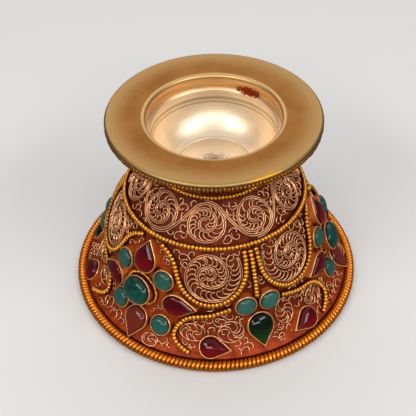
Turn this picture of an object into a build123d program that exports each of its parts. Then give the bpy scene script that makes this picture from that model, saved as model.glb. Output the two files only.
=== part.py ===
from build123d import *
import os
from math import acos, cos, degrees, pi, radians, sin

# A butter lamp: a turned brass bowl on a hollow sheet foot with beaded wire, filigree and set stones.
# Millimetres, +Z up, the origin on the ground under the middle of the foot.
# Azimuths are degrees round Z from the front (-Y) towards +X.

# Bowl
RIM_RADIUS = 30.8
RIM_HEIGHT = 60.7
RIM_EDGE = 1.3
RIM_ROUND = 0.9
FLANGE_ROOT = 2.8
FLANGE_DISH = 0.4
MOUTH_ROUND = 1.0
SEAT_RADIUS = 19.2
SEAT_DEPTH = 4.9
LEDGE_WIDTH = 1.0
WELL_DEPTH = 17.4
WELL_FLOOR_RADIUS = 11.0
WELL_BULGE = 2.2
BOWL_WALL = 1.6
BOWL_BULGE = 1.9
BOWL_FLOOR = 3.6
SPIGOT_RADIUS = 14.4
SPIGOT_PROUD = 0.6
WICK_RADIUS = 1.6
WICK_DEPTH = 2.0

# Foot shell, its outside given by the neck, shoulder, waist and brim
NECK_RADIUS = 16.2
NECK_HEIGHT = 44.2
SHOULDER_RADIUS = 26.4
SHOULDER_HEIGHT = 33.4
WAIST_RADIUS = 33.8
WAIST_HEIGHT = 15.5
BRIM_RADIUS = 41.8
BRIM_HEIGHT = 3.2
DOME_BULGE = 0.9
SKIRT_BULGE = 1.1
FLARE_HOLLOW = 1.3
FOLD_RISE = 0.4
SHEET = 0.9
SPIGOT_CLEARANCE = 0.2

# Stud, washer and nut that draw the bowl down on the foot
STUD_RADIUS = 3.0
STUD_SOCKET = 1.0
STUD_END = 1.5
STUD_CLEARANCE = 0.3
WASHER_RADIUS = 9.0
WASHER_THICKNESS = 1.2
NUT_ACROSS_FLATS = 10.0
NUT_HEIGHT = 5.0
NUT_CLEARANCE = 0.05

# Beaded wires
SOLDER_GAP = 0.03
RIM_BEAD = 0.76
RIM_BEAD_INSET = 0.7
NECK_BEAD = 0.72
NECK_BEAD_BELOW = 1.0
SHOULDER_BEAD = 0.8
FINE_BEAD = 0.8
COLLAR_BEAD = 0.5
BEAD_CROWDING = 0.9
ROPE_RADIUS = 1.6
ROPE_GROOVE = 0.38
ROPE_PITCH = 1.25
ROPE_LIFT = 0.2
ROPE_RIB_REACH = 0.75
POINTS_PER_KNOT = 40
COLLAR_RING_STEP = 3

# Stones and settings
ROUND_STONE = 2.85
PETAL_STONE = 3.5
PETAL_TIP = 6.0
DARK_STONE = 3.7
DARK_TIP = 6.0
RED_STONE = 3.0
RED_TIP = 5.6
OVAL_WIDE = 3.8
OVAL_LONG = 4.6
OVAL_TILT = -7.0
GIRDLE = 0.9
CROWN = 1.5
OVAL_CROWN = 1.9
BEZEL_WALL = 0.4
BEZEL_HEIGHT = 1.5
STONE_LIFT = 0.6
SETTING_GAP = 0.05
COLLAR_HEIGHT = 3.0
COLLAR_DEPTH = 2.4
COLLAR_DRAW_IN = 0.8
COLLAR_LEAN = 20.0
SETTING_DEPTH = 1.6

# Layout: three bays, each an apron with a flower half a bay to its left
BAYS = 3
APRON_AZIMUTH = 19.5
FLOWER_ABOVE_WAIST = 0.9
COLLAR_RING_ACROSS = 0.8
COLLAR_RING_UPWARD = 1.2
COLLAR_RING_RISE = 0.6
APRON_ROUND_SIDE = 3.5
APRON_ROUND_ABOVE_WAIST = 1.4
APRON_DROP_BELOW_WAIST = 7.8
APRON_RED_SIDE = 21.0
APRON_RED_BELOW_WAIST = 11.6
APRON_RED_DIP = 10.0
BAR_TOP_BELOW_SHOULDER = 2.0
BAR_END_BELOW_SHOULDER = 15.6

# A flower's stones in mm across and below its middle, as set by eye; a petal's tip is turned from straight up
FLOWER_PETALS = [(0, -11.7, 0), (-11.6, 0.7, 90), (0.9, 10.9, 180), (12.9, 0, 270)]
FLOWER_ROUNDS = [(-7.5, -7.0), (-6.0, 6.9), (7.5, -7.0), (8.2, 8.3)]

# A window frame and an arm: degrees from the apron's middle, and mm below the shoulder or the waist
WINDOW_PATH = [(3.6, 1.9), (4.2, 7.5), (13.0, 15.2), (26.0, 17.0), (39.0, 11.0), (43.5, 5.5), (52.0, 2.0)]
ARM_PATH = [(14.0, -0.6), (26.0, 1.8), (36.5, 4.6), (39.3, 8.5), (32.0, 13.6)]

# Filigree: roundels on the shoulder band and in the windows, and single curls, in mm across and up
WIRE_WIDTH = 0.4
WIRE_RISE = 0.55
STEM_RADIUS = 5.2
STEM_CREEP = 0.5
STEM_SWEEP = 350
EYE_RADIUS = 2.6
EYE_CREEP = 0.75
EYE_SWEEP = 800
CURLS = 11
CURL_CREEP = 0.1
CURL_SWEEP = 270
BAND_ROUNDELS = 10
BAND_STRIPS = 2
BAND_AZIMUTH = -7.6
BAND_BELOW_NECK = 7.7
SPANDREL_RADIUS = 1.1
SPANDREL_ACROSS = 5.4
SPANDREL_UP = 4.2
WINDOW_ROUNDEL_SIDE = 24.0
WINDOW_ROUNDEL_BELOW_SHOULDER = 7.6
WINDOW_CURLS = [(-6.6, 3.6), (6.6, 3.6), (-1.6, -7.0), (1.4, -7.0), (-5.6, -4.6), (4.4, -5.0)]
APRON_CURLS = [(8.5, 5.0), (14.0, 3.5), (20.0, 5.0), (28.0, 6.0), (32.5, 9.0), (14.5, 7.0)]
APRON_CURL_RADIUS = 1.2
SECTION_ANGLE = 40
PATH_STEP = 0.001

# Levels and radii that follow from the above
well_floor = RIM_HEIGHT - WELL_DEPTH
bowl_bottom = well_floor - BOWL_FLOOR
recess_radius = SPIGOT_RADIUS + SPIGOT_CLEARANCE
bay_step = 360 / BAYS
flower_azimuth = APRON_AZIMUTH - bay_step / 2
bezel_wall = SETTING_GAP + BEZEL_WALL

# The outside of the foot as three arcs in (radius, height), from the neck down
neck = (NECK_RADIUS, NECK_HEIGHT)
shoulder = (SHOULDER_RADIUS, SHOULDER_HEIGHT)
waist = (WAIST_RADIUS, WAIST_HEIGHT)
brim = (BRIM_RADIUS, BRIM_HEIGHT)
dome = SagittaArc(neck, shoulder, DOME_BULGE)
skirt = SagittaArc(shoulder, waist, SKIRT_BULGE)
flare = SagittaArc(waist, brim, -FLARE_HOLLOW)
shoulder_along = dome.length
waist_along = dome.length + skirt.length
brim_along = waist_along + flare.length


def shell_spot(along):
    """Radius, height and outward normal of the foot's outside, along mm down from the neck."""
    for arc in (dome, skirt, flare):
        if along <= arc.length or arc is flare:
            break
        along -= arc.length
    spot = arc.position_at(along, position_mode=PositionMode.LENGTH)
    run = arc.tangent_at(along, position_mode=PositionMode.LENGTH)
    return spot.X, spot.Y, -run.Y, run.X


def on_shell(azimuth, along, lift=0.0):
    """Point at a height of lift over the foot's outside."""
    radius, height, normal_out, normal_up = shell_spot(along)
    reach = radius + lift * normal_out
    turn = radians(azimuth)
    return Vector(reach * sin(turn), -reach * cos(turn), height + lift * normal_up)


def seat(azimuth, along, turn=0.0, lean=0.0):
    """Plane on the foot's outside: x runs round it, y up the slope, then leaned up and turned in itself."""
    normal_out, normal_up = shell_spot(along)[2:]
    angle = radians(azimuth)
    square = Vector(normal_out * sin(angle), -normal_out * cos(angle), normal_up)
    across = Vector(cos(angle), sin(angle), 0)
    out = square * cos(radians(lean)) + square.cross(across) * sin(radians(lean))
    spin = radians(turn)
    turned_across = across * cos(spin) + out.cross(across) * sin(spin)
    return Plane(on_shell(azimuth, along), x_dir=turned_across, z_dir=out)


def degrees_round(distance, along):
    """Azimuth step that spans a distance round the foot."""
    return degrees(distance / shell_spot(along)[0])


def lifted_outside(lift):
    """The foot's outside moved out by lift, with its upper and lower ends."""
    corners = []
    for along in (0, shoulder_along, waist_along, brim_along):
        radius, height, normal_out, normal_up = shell_spot(along)
        corners.append((radius + lift * normal_out, height + lift * normal_up))
    bulges = (DOME_BULGE, SKIRT_BULGE, -FLARE_HOLLOW)
    arcs = [SagittaArc(corners[i], corners[i + 1], bulges[i]) for i in range(len(bulges))]
    return arcs, corners[0], corners[-1]


def turned(edges):
    """Solid turned about Z from a closed outline in (radius, height)."""
    return revolve(Plane.XZ * make_face(edges), Axis.Z)


def copies(solids):
    """The same solids in each bay."""
    return [[Rot(0, 0, bay * bay_step) * solid for solid in solids] for bay in range(BAYS)]


def save(name, solids):
    export_step(solids[0] if len(solids) == 1 else Compound(solids), f"parts/{name}.step")


def save_bays(name, solids):
    """One node for each bay, numbered from the front."""
    for bay, group in enumerate(copies(solids), start=1):
        save(f"{name}_{bay}", group)


# The bowl: flange, rounded mouth, step for a cup, well with a wick socket, and a plain spigot below
def lamp_bowl():
    mouth_height = RIM_HEIGHT - FLANGE_DISH
    mouth_radius = SEAT_RADIUS + MOUTH_ROUND
    ledge = RIM_HEIGHT - SEAT_DEPTH
    well_radius = SEAT_RADIUS - LEDGE_WIDTH
    flange_under = RIM_HEIGHT - RIM_EDGE
    root = (SEAT_RADIUS + BOWL_WALL, RIM_HEIGHT - FLANGE_ROOT)
    spigot_top = (SPIGOT_RADIUS, NECK_HEIGHT + SPIGOT_PROUD)
    inside = Polyline(
        (0, well_floor - WICK_DEPTH),
        (WICK_RADIUS, well_floor - WICK_DEPTH),
        (WICK_RADIUS, well_floor),
        (WELL_FLOOR_RADIUS, well_floor),
    )
    well = SagittaArc((WELL_FLOOR_RADIUS, well_floor), (well_radius, ledge), -WELL_BULGE)
    step = Polyline((well_radius, ledge), (SEAT_RADIUS, ledge), (SEAT_RADIUS, mouth_height - MOUTH_ROUND))
    lip = RadiusArc((SEAT_RADIUS, mouth_height - MOUTH_ROUND), (mouth_radius, mouth_height), MOUTH_ROUND)
    top = Line((mouth_radius, mouth_height), (RIM_RADIUS - RIM_ROUND, RIM_HEIGHT))
    edge = RadiusArc((RIM_RADIUS - RIM_ROUND, RIM_HEIGHT), (RIM_RADIUS, RIM_HEIGHT - RIM_ROUND), RIM_ROUND)
    bead_land = (RIM_RADIUS - RIM_BEAD_INSET - 2 * RIM_BEAD, flange_under)
    under = Polyline((RIM_RADIUS, RIM_HEIGHT - RIM_ROUND), (RIM_RADIUS, flange_under), bead_land, root)
    outside = SagittaArc(root, spigot_top, BOWL_BULGE)
    spigot = Polyline(
        spigot_top,
        (SPIGOT_RADIUS, bowl_bottom),
        (STUD_RADIUS, bowl_bottom),
        (STUD_RADIUS, bowl_bottom + STUD_SOCKET),
        (0, bowl_bottom + STUD_SOCKET),
        (0, well_floor - WICK_DEPTH),
    )
    return turned([inside, well, step, lip, top, edge, under, outside, spigot])


# The foot: one sheet, its crown folded in and sunk to a flat deck that carries the bowl
def base_shell():
    inner_arcs, inner_neck, inner_brim = lifted_outside(-SHEET)
    hole = STUD_RADIUS + STUD_CLEARANCE
    fold = SagittaArc((recess_radius, NECK_HEIGHT), neck, FOLD_RISE)
    band = Polyline(brim, (BRIM_RADIUS, 0), (BRIM_RADIUS - SHEET, 0), (BRIM_RADIUS - SHEET, inner_brim[1]))
    hem = Line((BRIM_RADIUS - SHEET, inner_brim[1]), inner_brim)
    deck = Polyline(
        inner_neck,
        (recess_radius + SHEET, bowl_bottom - SHEET),
        (hole, bowl_bottom - SHEET),
        (hole, bowl_bottom),
        (recess_radius, bowl_bottom),
        (recess_radius, NECK_HEIGHT),
    )
    return turned([fold, dome, skirt, flare, band, hem, *inner_arcs, deck])


def bowl_stud():
    length = STUD_SOCKET + SHEET + WASHER_THICKNESS + NUT_HEIGHT + STUD_END
    top = bowl_bottom + STUD_SOCKET
    return Pos(0, 0, top - length / 2) * Cylinder(STUD_RADIUS, length)


def stud_washer():
    ring = Circle(WASHER_RADIUS) - Circle(STUD_RADIUS + STUD_CLEARANCE)
    return Pos(0, 0, bowl_bottom - SHEET - WASHER_THICKNESS) * extrude(ring, WASHER_THICKNESS)


def stud_nut():
    hexagon = RegularPolygon(NUT_ACROSS_FLATS / 2, 6, major_radius=False)
    ring = hexagon - Circle(STUD_RADIUS + NUT_CLEARANCE)
    return Pos(0, 0, bowl_bottom - SHEET - WASHER_THICKNESS - NUT_HEIGHT) * extrude(ring, NUT_HEIGHT)


# Beaded wire: a row of beads of one size, each cut where it meets the next, closed to one solid
def closed_solid(faces):
    return Solid(Shell(faces))


def curved_faces(solid):
    return [face for face in solid.faces() if face.geom_type != GeomType.PLANE]


def bead_ring(radius, height, bead, pitch):
    """Ring of beads round Z; the bead is modelled on its own axis, which the wire follows."""
    count = round(2 * pi * radius / pitch)
    step = 360 / count
    link = Plane((0, -radius, height), z_dir=(1, 0, 0)) * bead
    for side in (1, -1):
        cut = Plane((0, 0, 0), z_dir=Vector(side, 0, 0).rotate(Axis.Z, side * step / 2))
        link = split(link, bisect_by=cut, keep=Keep.BOTTOM)
    skin = curved_faces(link)
    return closed_solid([Rot(0, 0, place * step) * face for place in range(count) for face in skin])


def bead_row(centres, radius, closed=False):
    """Row of round beads on the given centres, which lie closer than a bead's width."""
    faces = []
    last = len(centres) - 1
    for place, centre in enumerate(centres):
        neighbours = []
        if closed or place > 0:
            neighbours.append(centres[place - 1])
        if closed or place < last:
            neighbours.append(centres[(place + 1) % len(centres)])
        bead = Plane(centre, z_dir=neighbours[-1] - centre) * Sphere(radius)
        for other in neighbours:
            cut = Plane((centre + other) / 2, z_dir=other - centre)
            bead = split(bead, bisect_by=cut, keep=Keep.BOTTOM)
        faces.extend(curved_faces(bead))
    return closed_solid(faces)


def even_centres(points, pitch, closed=False):
    """Points at an even pitch, as near as the length allows, along a fine run of points."""
    if closed:
        points = points + points[:1]
    gone = [0.0]
    for here, there in zip(points, points[1:]):
        gone.append(gone[-1] + (there - here).length)
    spaces = round(gone[-1] / pitch)
    marks = spaces if closed else spaces + 1
    centres = []
    place = 0
    for mark in range(marks):
        target = min(gone[-1] * mark / spaces, gone[-1])
        while place < len(gone) - 2 and gone[place + 1] < target:
            place += 1
        share = (target - gone[place]) / (gone[place + 1] - gone[place])
        centres.append(points[place] + (points[place + 1] - points[place]) * share)
    return centres


def bead_path(path, along_from, radius, side):
    """Beaded wire on the foot along a smooth path of (degrees from the apron, mm below a level)."""
    curve = Spline([(side * angle, along_from + below) for angle, below in path])
    steps = POINTS_PER_KNOT * len(path)
    lift = radius + SOLDER_GAP
    fine = []
    for step in range(steps + 1):
        spot = curve.position_at(step / steps)
        fine.append(on_shell(APRON_AZIMUTH + spot.X, spot.Y, lift))
    return bead_row(even_centres(fine, 2 * radius * BEAD_CROWDING), radius)


def rim_bead_wire():
    height = RIM_HEIGHT - RIM_EDGE - RIM_BEAD - SOLDER_GAP
    return bead_ring(RIM_RADIUS - RIM_BEAD_INSET, height, Sphere(RIM_BEAD), 2 * RIM_BEAD * BEAD_CROWDING)


def shell_bead_ring(along, bead_radius):
    spot = on_shell(0, along, bead_radius + SOLDER_GAP)
    return bead_ring(-spot.Y, spot.Z, Sphere(bead_radius), 2 * bead_radius * BEAD_CROWDING)


def foot_rope_wire():
    reach = ROPE_PITCH * ROPE_RIB_REACH
    fall = ROPE_GROOVE * (reach / (ROPE_PITCH / 2)) ** 2
    rib = SagittaArc((ROPE_RADIUS - fall, -reach), (ROPE_RADIUS - fall, reach), -fall)
    ends = Polyline((ROPE_RADIUS - fall, reach), (0, reach), (0, -reach), (ROPE_RADIUS - fall, -reach))
    ring_radius = BRIM_RADIUS + ROPE_RADIUS + SOLDER_GAP
    return bead_ring(ring_radius, ROPE_RADIUS + ROPE_LIFT, turned([rib, ends]), ROPE_PITCH)


# Stones: domed cabochons, round, oval or drawn out to a drop
def round_cabochon(radius, crown):
    side = Polyline((0, 0), (radius, 0), (radius, GIRDLE))
    cap = RadiusArc((radius, GIRDLE), (0, GIRDLE + crown), -(radius**2 + crown**2) / (2 * crown))
    return turned([side, cap, Line((0, GIRDLE + crown), (0, 0))])


def drop_cabochon(radius, tip):
    """Dome with a cone drawn out to the tip, tangent to it, along +y from the middle of its length."""
    belly = round_cabochon(radius, CROWN)
    joint = Plane((0, radius**2 / tip, 0), z_dir=(0, 1, 0))
    belly = split(belly, bisect_by=joint, keep=Keep.BOTTOM)
    section = belly.faces().sort_by(Axis.Y)[-1]
    return Pos(0, -(tip - radius) / 2, 0) * (belly + loft([section, Vertex(0, tip, 0)], ruled=True))


def drop_outline(radius, tip, margin):
    """Circle with two tangents to a tip on +y, wider by a margin, about the middle of the stone's length."""
    touch = degrees(acos(radius / tip))
    reach = radius + margin
    end = (0, reach * tip / radius)
    belly = CenterArc((0, 0), reach, 90 + touch, 360 - 2 * touch)
    return Pos(0, -(tip - radius) / 2) * make_face([belly, Line(belly @ 1, end), Line(end, belly @ 0)])


# The solid inside the foot's outside, which cuts the settings to seat on it
def foot_core():
    closing = Polyline(brim, (BRIM_RADIUS, 0), (0, 0), (0, NECK_HEIGHT), neck)
    return turned([dome, skirt, flare, closing])


def setting(place, outer, inner):
    """Cup with a floor that follows the foot and a wall round the stone."""
    body = extrude(Pos(0, 0, -SETTING_DEPTH) * outer, SETTING_DEPTH + BEZEL_HEIGHT)
    pocket = extrude(Pos(0, 0, STONE_LIFT) * inner, BEZEL_HEIGHT)
    return place * (body - pocket) - core


def round_set(place):
    stone = place * Pos(0, 0, STONE_LIFT) * round_cabochon(ROUND_STONE, CROWN)
    return stone, setting(place, Circle(ROUND_STONE + bezel_wall), Circle(ROUND_STONE + SETTING_GAP))


def drop_set(place, radius, tip):
    stone = place * Pos(0, 0, STONE_LIFT) * drop_cabochon(radius, tip)
    outer = drop_outline(radius, tip, bezel_wall)
    return stone, setting(place, outer, drop_outline(radius, tip, SETTING_GAP))


def split_sets(sets):
    """Stones and settings of several sets as two lists."""
    return [stone for stone, cup in sets], [cup for stone, cup in sets]


# A flower: four drops with their tips outward, four rounds between them, a raised oval in a flaring collar
def save_flowers():
    along = waist_along - FLOWER_ABOVE_WAIST
    drops = []
    for across, below, spin in FLOWER_PETALS:
        place = seat(flower_azimuth + degrees_round(across, along), along + below, spin)
        drops.append(drop_set(place, PETAL_STONE, PETAL_TIP))
    rounds = []
    for across, below in FLOWER_ROUNDS:
        rounds.append(round_set(seat(flower_azimuth + degrees_round(across, along), along + below)))
    red, drop_cups = split_sets(drops)
    green, round_cups = split_sets(rounds)
    save_bays("flower_red_stones", red)
    save_bays("flower_green_stones", green)
    save_bays("flower_bezels", drop_cups + round_cups)

    middle = seat(flower_azimuth, along, OVAL_TILT, COLLAR_LEAN)
    mouth = Ellipse(OVAL_LONG + bezel_wall, OVAL_WIDE + bezel_wall)
    pocket = Ellipse(OVAL_LONG + SETTING_GAP, OVAL_WIDE + SETTING_GAP)
    foot = Ellipse((OVAL_LONG + bezel_wall) * COLLAR_DRAW_IN, (OVAL_WIDE + bezel_wall) * COLLAR_DRAW_IN)
    body = loft([Pos(0, 0, -COLLAR_DEPTH) * foot, Pos(0, 0, COLLAR_HEIGHT) * mouth])
    bearing = COLLAR_HEIGHT - BEZEL_HEIGHT + STONE_LIFT
    collar = middle * (body - extrude(Pos(0, 0, bearing) * pocket, BEZEL_HEIGHT)) - core
    dome_stone = scale(round_cabochon(OVAL_WIDE, OVAL_CROWN), by=(OVAL_LONG / OVAL_WIDE, 1, 1))
    save_bays("flower_oval_collar", [collar])
    save_bays("flower_oval_stone", [middle * Pos(0, 0, bearing) * dome_stone])

    tilt = radians(OVAL_TILT)
    fine = []
    for angle in range(0, 360, COLLAR_RING_STEP):
        across = (OVAL_LONG + COLLAR_RING_ACROSS) * cos(radians(angle))
        upward = (OVAL_WIDE + COLLAR_RING_UPWARD) * sin(radians(angle))
        turn = degrees_round(across * cos(tilt) - upward * sin(tilt), along)
        rise = across * sin(tilt) + upward * cos(tilt) + COLLAR_RING_RISE
        fine.append(on_shell(flower_azimuth + turn, along - rise, COLLAR_BEAD + SOLDER_GAP))
    centres = even_centres(fine, 2 * COLLAR_BEAD * BEAD_CROWDING, closed=True)
    save_bays("flower_bead_ring", [bead_row(centres, COLLAR_BEAD, closed=True)])


# An apron: two rounds, a dark drop below them, two red drops pointing in, a beaded bar and two arms
def save_aprons():
    round_along = waist_along - APRON_ROUND_ABOVE_WAIST
    round_side = degrees_round(APRON_ROUND_SIDE, round_along)
    rounds = [round_set(seat(APRON_AZIMUTH + side * round_side, round_along)) for side in (-1, 1)]
    red_along = waist_along + APRON_RED_BELOW_WAIST
    reds = []
    for side in (-1, 1):
        place = seat(APRON_AZIMUTH + side * APRON_RED_SIDE, red_along, side * (90 + APRON_RED_DIP))
        reds.append(drop_set(place, RED_STONE, RED_TIP))
    dark = drop_set(seat(APRON_AZIMUTH, waist_along + APRON_DROP_BELOW_WAIST, 180), DARK_STONE, DARK_TIP)
    green, round_cups = split_sets(rounds)
    red, red_cups = split_sets(reds)
    save_bays("apron_green_stones", green)
    save_bays("apron_red_stones", red)
    save_bays("apron_dark_stone", [dark[0]])
    save_bays("apron_bezels", round_cups + red_cups + [dark[1]])

    bar = [(0, BAR_TOP_BELOW_SHOULDER), (0, BAR_END_BELOW_SHOULDER)]
    save_bays("apron_bar_wire", [bead_path(bar, shoulder_along, FINE_BEAD, 1)])
    save_bays("apron_arm_wires", [bead_path(ARM_PATH, waist_along, FINE_BEAD, side) for side in (-1, 1)])
    frames = [bead_path(WINDOW_PATH, shoulder_along, FINE_BEAD, side) for side in (-1, 1)]
    save_bays("window_frame_wires", frames)


# Filigree: flat wire on edge that follows the foot, wound to roundels with a wreath of curls inside
def flat_wire(path, sections):
    """Wire along a path on the foot, where path(share) gives the azimuth and the way down from the neck."""
    rise = WIRE_RISE - SOLDER_GAP
    lift = SOLDER_GAP + rise / 2
    profiles = []
    for place in range(sections):
        share = place / (sections - 1)
        middle = on_shell(*path(share), lift)
        run = on_shell(*path(share + PATH_STEP), lift) - on_shell(*path(share - PATH_STEP), lift)
        out = middle - on_shell(*path(share))
        profiles.append(Plane(middle, x_dir=out, z_dir=run) * Rectangle(rise, WIRE_WIDTH))
    return loft(profiles)


def curl(azimuth, along, place, radius, creep, start, sweep):
    """Spiral that draws in by creep a turn, about a place in mm across and up from a spot on the foot."""

    def path(share):
        angle = radians(start + share * sweep)
        reach = radius - creep * share * abs(sweep) / 360
        across = place[0] + reach * cos(angle)
        upward = place[1] + reach * sin(angle)
        return azimuth + degrees_round(across, along), along - upward

    return flat_wire(path, 2 + round(abs(sweep) / SECTION_ANGLE))


def single_curl(azimuth, along, place, radius, start, hand):
    return curl(azimuth, along, place, radius, CURL_CREEP, start, hand * CURL_SWEEP)


def roundel(azimuth, along, hand):
    """Stem, eye and the curls between them; hand is 1 or -1 for its mirror image."""
    wires = [
        curl(azimuth, along, (0, 0), STEM_RADIUS, STEM_CREEP, -90, hand * STEM_SWEEP),
        curl(azimuth, along, (0, 0), EYE_RADIUS, EYE_CREEP, 90, hand * EYE_SWEEP),
    ]
    stem_inside = STEM_RADIUS - STEM_CREEP - WIRE_WIDTH / 2
    eye_outside = EYE_RADIUS + WIRE_WIDTH / 2
    ring = (stem_inside + eye_outside) / 2
    radius = (stem_inside - eye_outside) / 2 - SOLDER_GAP - WIRE_WIDTH / 2
    for place in range(CURLS):
        angle = 360 * place / CURLS
        centre = (ring * cos(radians(angle)), ring * sin(radians(angle)))
        wires.append(single_curl(azimuth, along, centre, radius, angle, hand))
    return wires


def save_filigree():
    band_step = 360 / BAND_ROUNDELS
    first = roundel(BAND_AZIMUTH, BAND_BELOW_NECK, 1)
    for side in (-1, 1):
        for up in (-1, 1):
            place = (side * SPANDREL_ACROSS, up * SPANDREL_UP)
            first.append(single_curl(BAND_AZIMUTH, BAND_BELOW_NECK, place, SPANDREL_RADIUS, 90 * up, side))
    strip = BAND_ROUNDELS // BAND_STRIPS
    for number in range(BAND_STRIPS):
        turns = [Rot(0, 0, (number * strip + place) * band_step) for place in range(strip)]
        save(f"shoulder_filigree_{number + 1}", [turn * wire for turn in turns for wire in first])

    along = shoulder_along + WINDOW_ROUNDEL_BELOW_SHOULDER
    windows = []
    for side in (-1, 1):
        azimuth = APRON_AZIMUTH + side * WINDOW_ROUNDEL_SIDE
        windows += roundel(azimuth, along, side)
        for across, upward in WINDOW_CURLS:
            windows.append(single_curl(azimuth, along, (side * across, upward), SPANDREL_RADIUS, 90, side))
    save_bays("window_filigree", windows)

    curls = []
    for side in (-1, 1):
        for angle, below in APRON_CURLS:
            azimuth = APRON_AZIMUTH + side * angle
            curls.append(single_curl(azimuth, waist_along + below, (0, 0), APRON_CURL_RADIUS, 90, side))
    save_bays("apron_filigree", curls)


os.makedirs("parts", exist_ok=True)
core = foot_core()
save("lamp_bowl", [lamp_bowl()])
save("base_shell", [base_shell()])
save("bowl_stud", [bowl_stud()])
save("stud_washer", [stud_washer()])
save("stud_nut", [stud_nut()])
save("rim_bead_wire", [rim_bead_wire()])
save("neck_bead_wire", [shell_bead_ring(NECK_BEAD_BELOW, NECK_BEAD)])
save("shoulder_bead_wire", [shell_bead_ring(shoulder_along, SHOULDER_BEAD)])
save("foot_rope_wire", [foot_rope_wire()])
save_flowers()
save_aprons()
save_filigree()
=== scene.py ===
from math import acos, cos, degrees, pi, radians, sin

import bmesh
import bpy
import numpy as np
from mathutils import Matrix, Vector


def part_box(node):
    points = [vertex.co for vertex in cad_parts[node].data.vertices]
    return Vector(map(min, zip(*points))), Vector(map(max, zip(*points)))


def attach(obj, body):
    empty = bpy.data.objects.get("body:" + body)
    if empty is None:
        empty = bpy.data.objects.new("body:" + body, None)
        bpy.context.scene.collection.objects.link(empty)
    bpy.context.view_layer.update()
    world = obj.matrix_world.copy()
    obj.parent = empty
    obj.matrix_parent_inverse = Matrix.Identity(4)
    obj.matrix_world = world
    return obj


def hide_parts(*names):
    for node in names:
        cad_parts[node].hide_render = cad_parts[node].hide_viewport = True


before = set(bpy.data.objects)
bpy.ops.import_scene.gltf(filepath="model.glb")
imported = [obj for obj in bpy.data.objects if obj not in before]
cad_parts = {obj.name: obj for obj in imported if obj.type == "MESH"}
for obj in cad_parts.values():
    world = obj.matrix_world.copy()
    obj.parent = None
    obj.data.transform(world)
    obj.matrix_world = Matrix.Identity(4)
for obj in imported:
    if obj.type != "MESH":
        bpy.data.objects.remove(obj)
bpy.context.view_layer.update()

# Lamp bowl: turned from one piece of brass, with a brushed flange, a rounded mouth, a cup's step and a well.
# The well is polished bright. The spigot below drops into the crown of the foot and is drawn down by a stud.
MM = 0.001
bowl_low, bowl_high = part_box("lamp_bowl")
RIM_RADIUS = bowl_high.x / MM
RIM_TOP = bowl_high.z / MM
RIM_UNDER = RIM_TOP - 1.3
BOWL_BOTTOM = bowl_low.z / MM
MOUTH_TOP = RIM_TOP - 0.4
LIP = 1.0
FLANGE_PALE_FROM = 23.0
FLANGE_RISE = [(24.0, 0.14), (27.0, 0.28)]
SEAT_RADIUS = 19.2
LEDGE = RIM_TOP - 4.9
WELL_RADIUS = 18.2
WELL_FLOOR = RIM_TOP - 17.4
FLOOR_RADIUS = 10.3
GROOVE_DEPTH = 0.12
SOCKET_RADIUS = 1.6
SOCKET_FLOOR = WELL_FLOOR - 2.0
SPIGOT_RADIUS = 14.4
SPIGOT_TOP = 44.8
STUD_RADIUS = 3.0
STUD_TOP = BOWL_BOTTOM + 1.0
SCRIBED_LINES = (WELL_RADIUS - 0.1, WELL_RADIUS - 0.35, FLOOR_RADIUS + 0.3)
RIM_STAINS = [(26.0, 0.4, (6.5, 1.4, 1.0)), (-104.0, 0.2, (3.6, 1.2, 1.0)), (-150.0, 0.2, (6.0, 1.0, 1.0))]
SHARP_FROM = 32
TURN_STEPS = 288


def arc(start, end, bulge, count):
    """Points of a round arc in (radius, height); a positive bulge lies left of the way from start to end."""
    start = np.array(start, float)
    end = np.array(end, float)
    half = np.linalg.norm(end - start) / 2
    run = (end - start) / (2 * half)
    left = np.array([-run[1], run[0]])
    bend = (half**2 + bulge**2) / (2 * bulge)
    middle = (start + end) / 2 + left * (bulge - bend)
    turn = np.linspace(-1, 1, count) * np.arcsin(half / abs(bend))
    return middle + np.outer(np.cos(turn) * bend, left) + np.outer(np.sin(turn) * abs(bend), run)


def full_turn(count):
    """Angles of even steps once round."""
    return np.arange(count) * 2 * pi / count


def round_axis(turn, reach, height):
    """Points, or directions, at a reach from the lamp's axis and a height, turned from the front."""
    return np.stack(np.broadcast_arrays(reach * np.sin(turn), -reach * np.cos(turn), height), axis=-1)


def lathe(outline, steps):
    """Skin turned round Z from an outline of (radius, height), and the outline's point behind each point."""
    points = []
    faces = []
    rings = []
    numbers = []
    for number, (radius, height) in enumerate(outline):
        first = len(points)
        turns = full_turn(steps) if radius > 1e-6 else np.zeros(1)
        points += round_axis(turns, radius, height).tolist()
        rings.append(range(first, first + len(turns)))
        numbers += [number] * len(turns)
    for lower, upper in zip(rings, rings[1:]):
        for place in range(steps):
            corners = [
                lower[place % len(lower)],
                lower[(place + 1) % len(lower)],
                upper[(place + 1) % len(upper)],
                upper[place % len(upper)],
            ]
            faces.append(tuple(dict.fromkeys(corners)))
    return points, faces, numbers


def make_piece(name, points, faces, material, nodes, marks=None, sharp=None):
    """Mesh piece from points in mm that rides on the lamp and stands for the given nodes."""
    mesh = bpy.data.meshes.new(name)
    scaled = np.asarray(points, float) * MM
    mesh.from_pydata(scaled.tolist(), [], faces)
    shape = bmesh.new()
    shape.from_mesh(mesh)
    bmesh.ops.recalc_face_normals(shape, faces=shape.faces)
    shape.to_mesh(mesh)
    shape.free()
    mesh.shade_smooth()
    if sharp:
        mesh.set_sharp_from_angle(angle=radians(sharp))
    for label, values in (marks or {}).items():
        carried = mesh.attributes.new(label, "FLOAT", "POINT")
        carried.data.foreach_set("value", np.asarray(values, np.float32))
    mesh.materials.append(material)
    piece = bpy.data.objects.new(name, mesh)
    bpy.context.scene.collection.objects.link(piece)
    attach(piece, "root")
    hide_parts(*nodes)


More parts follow.
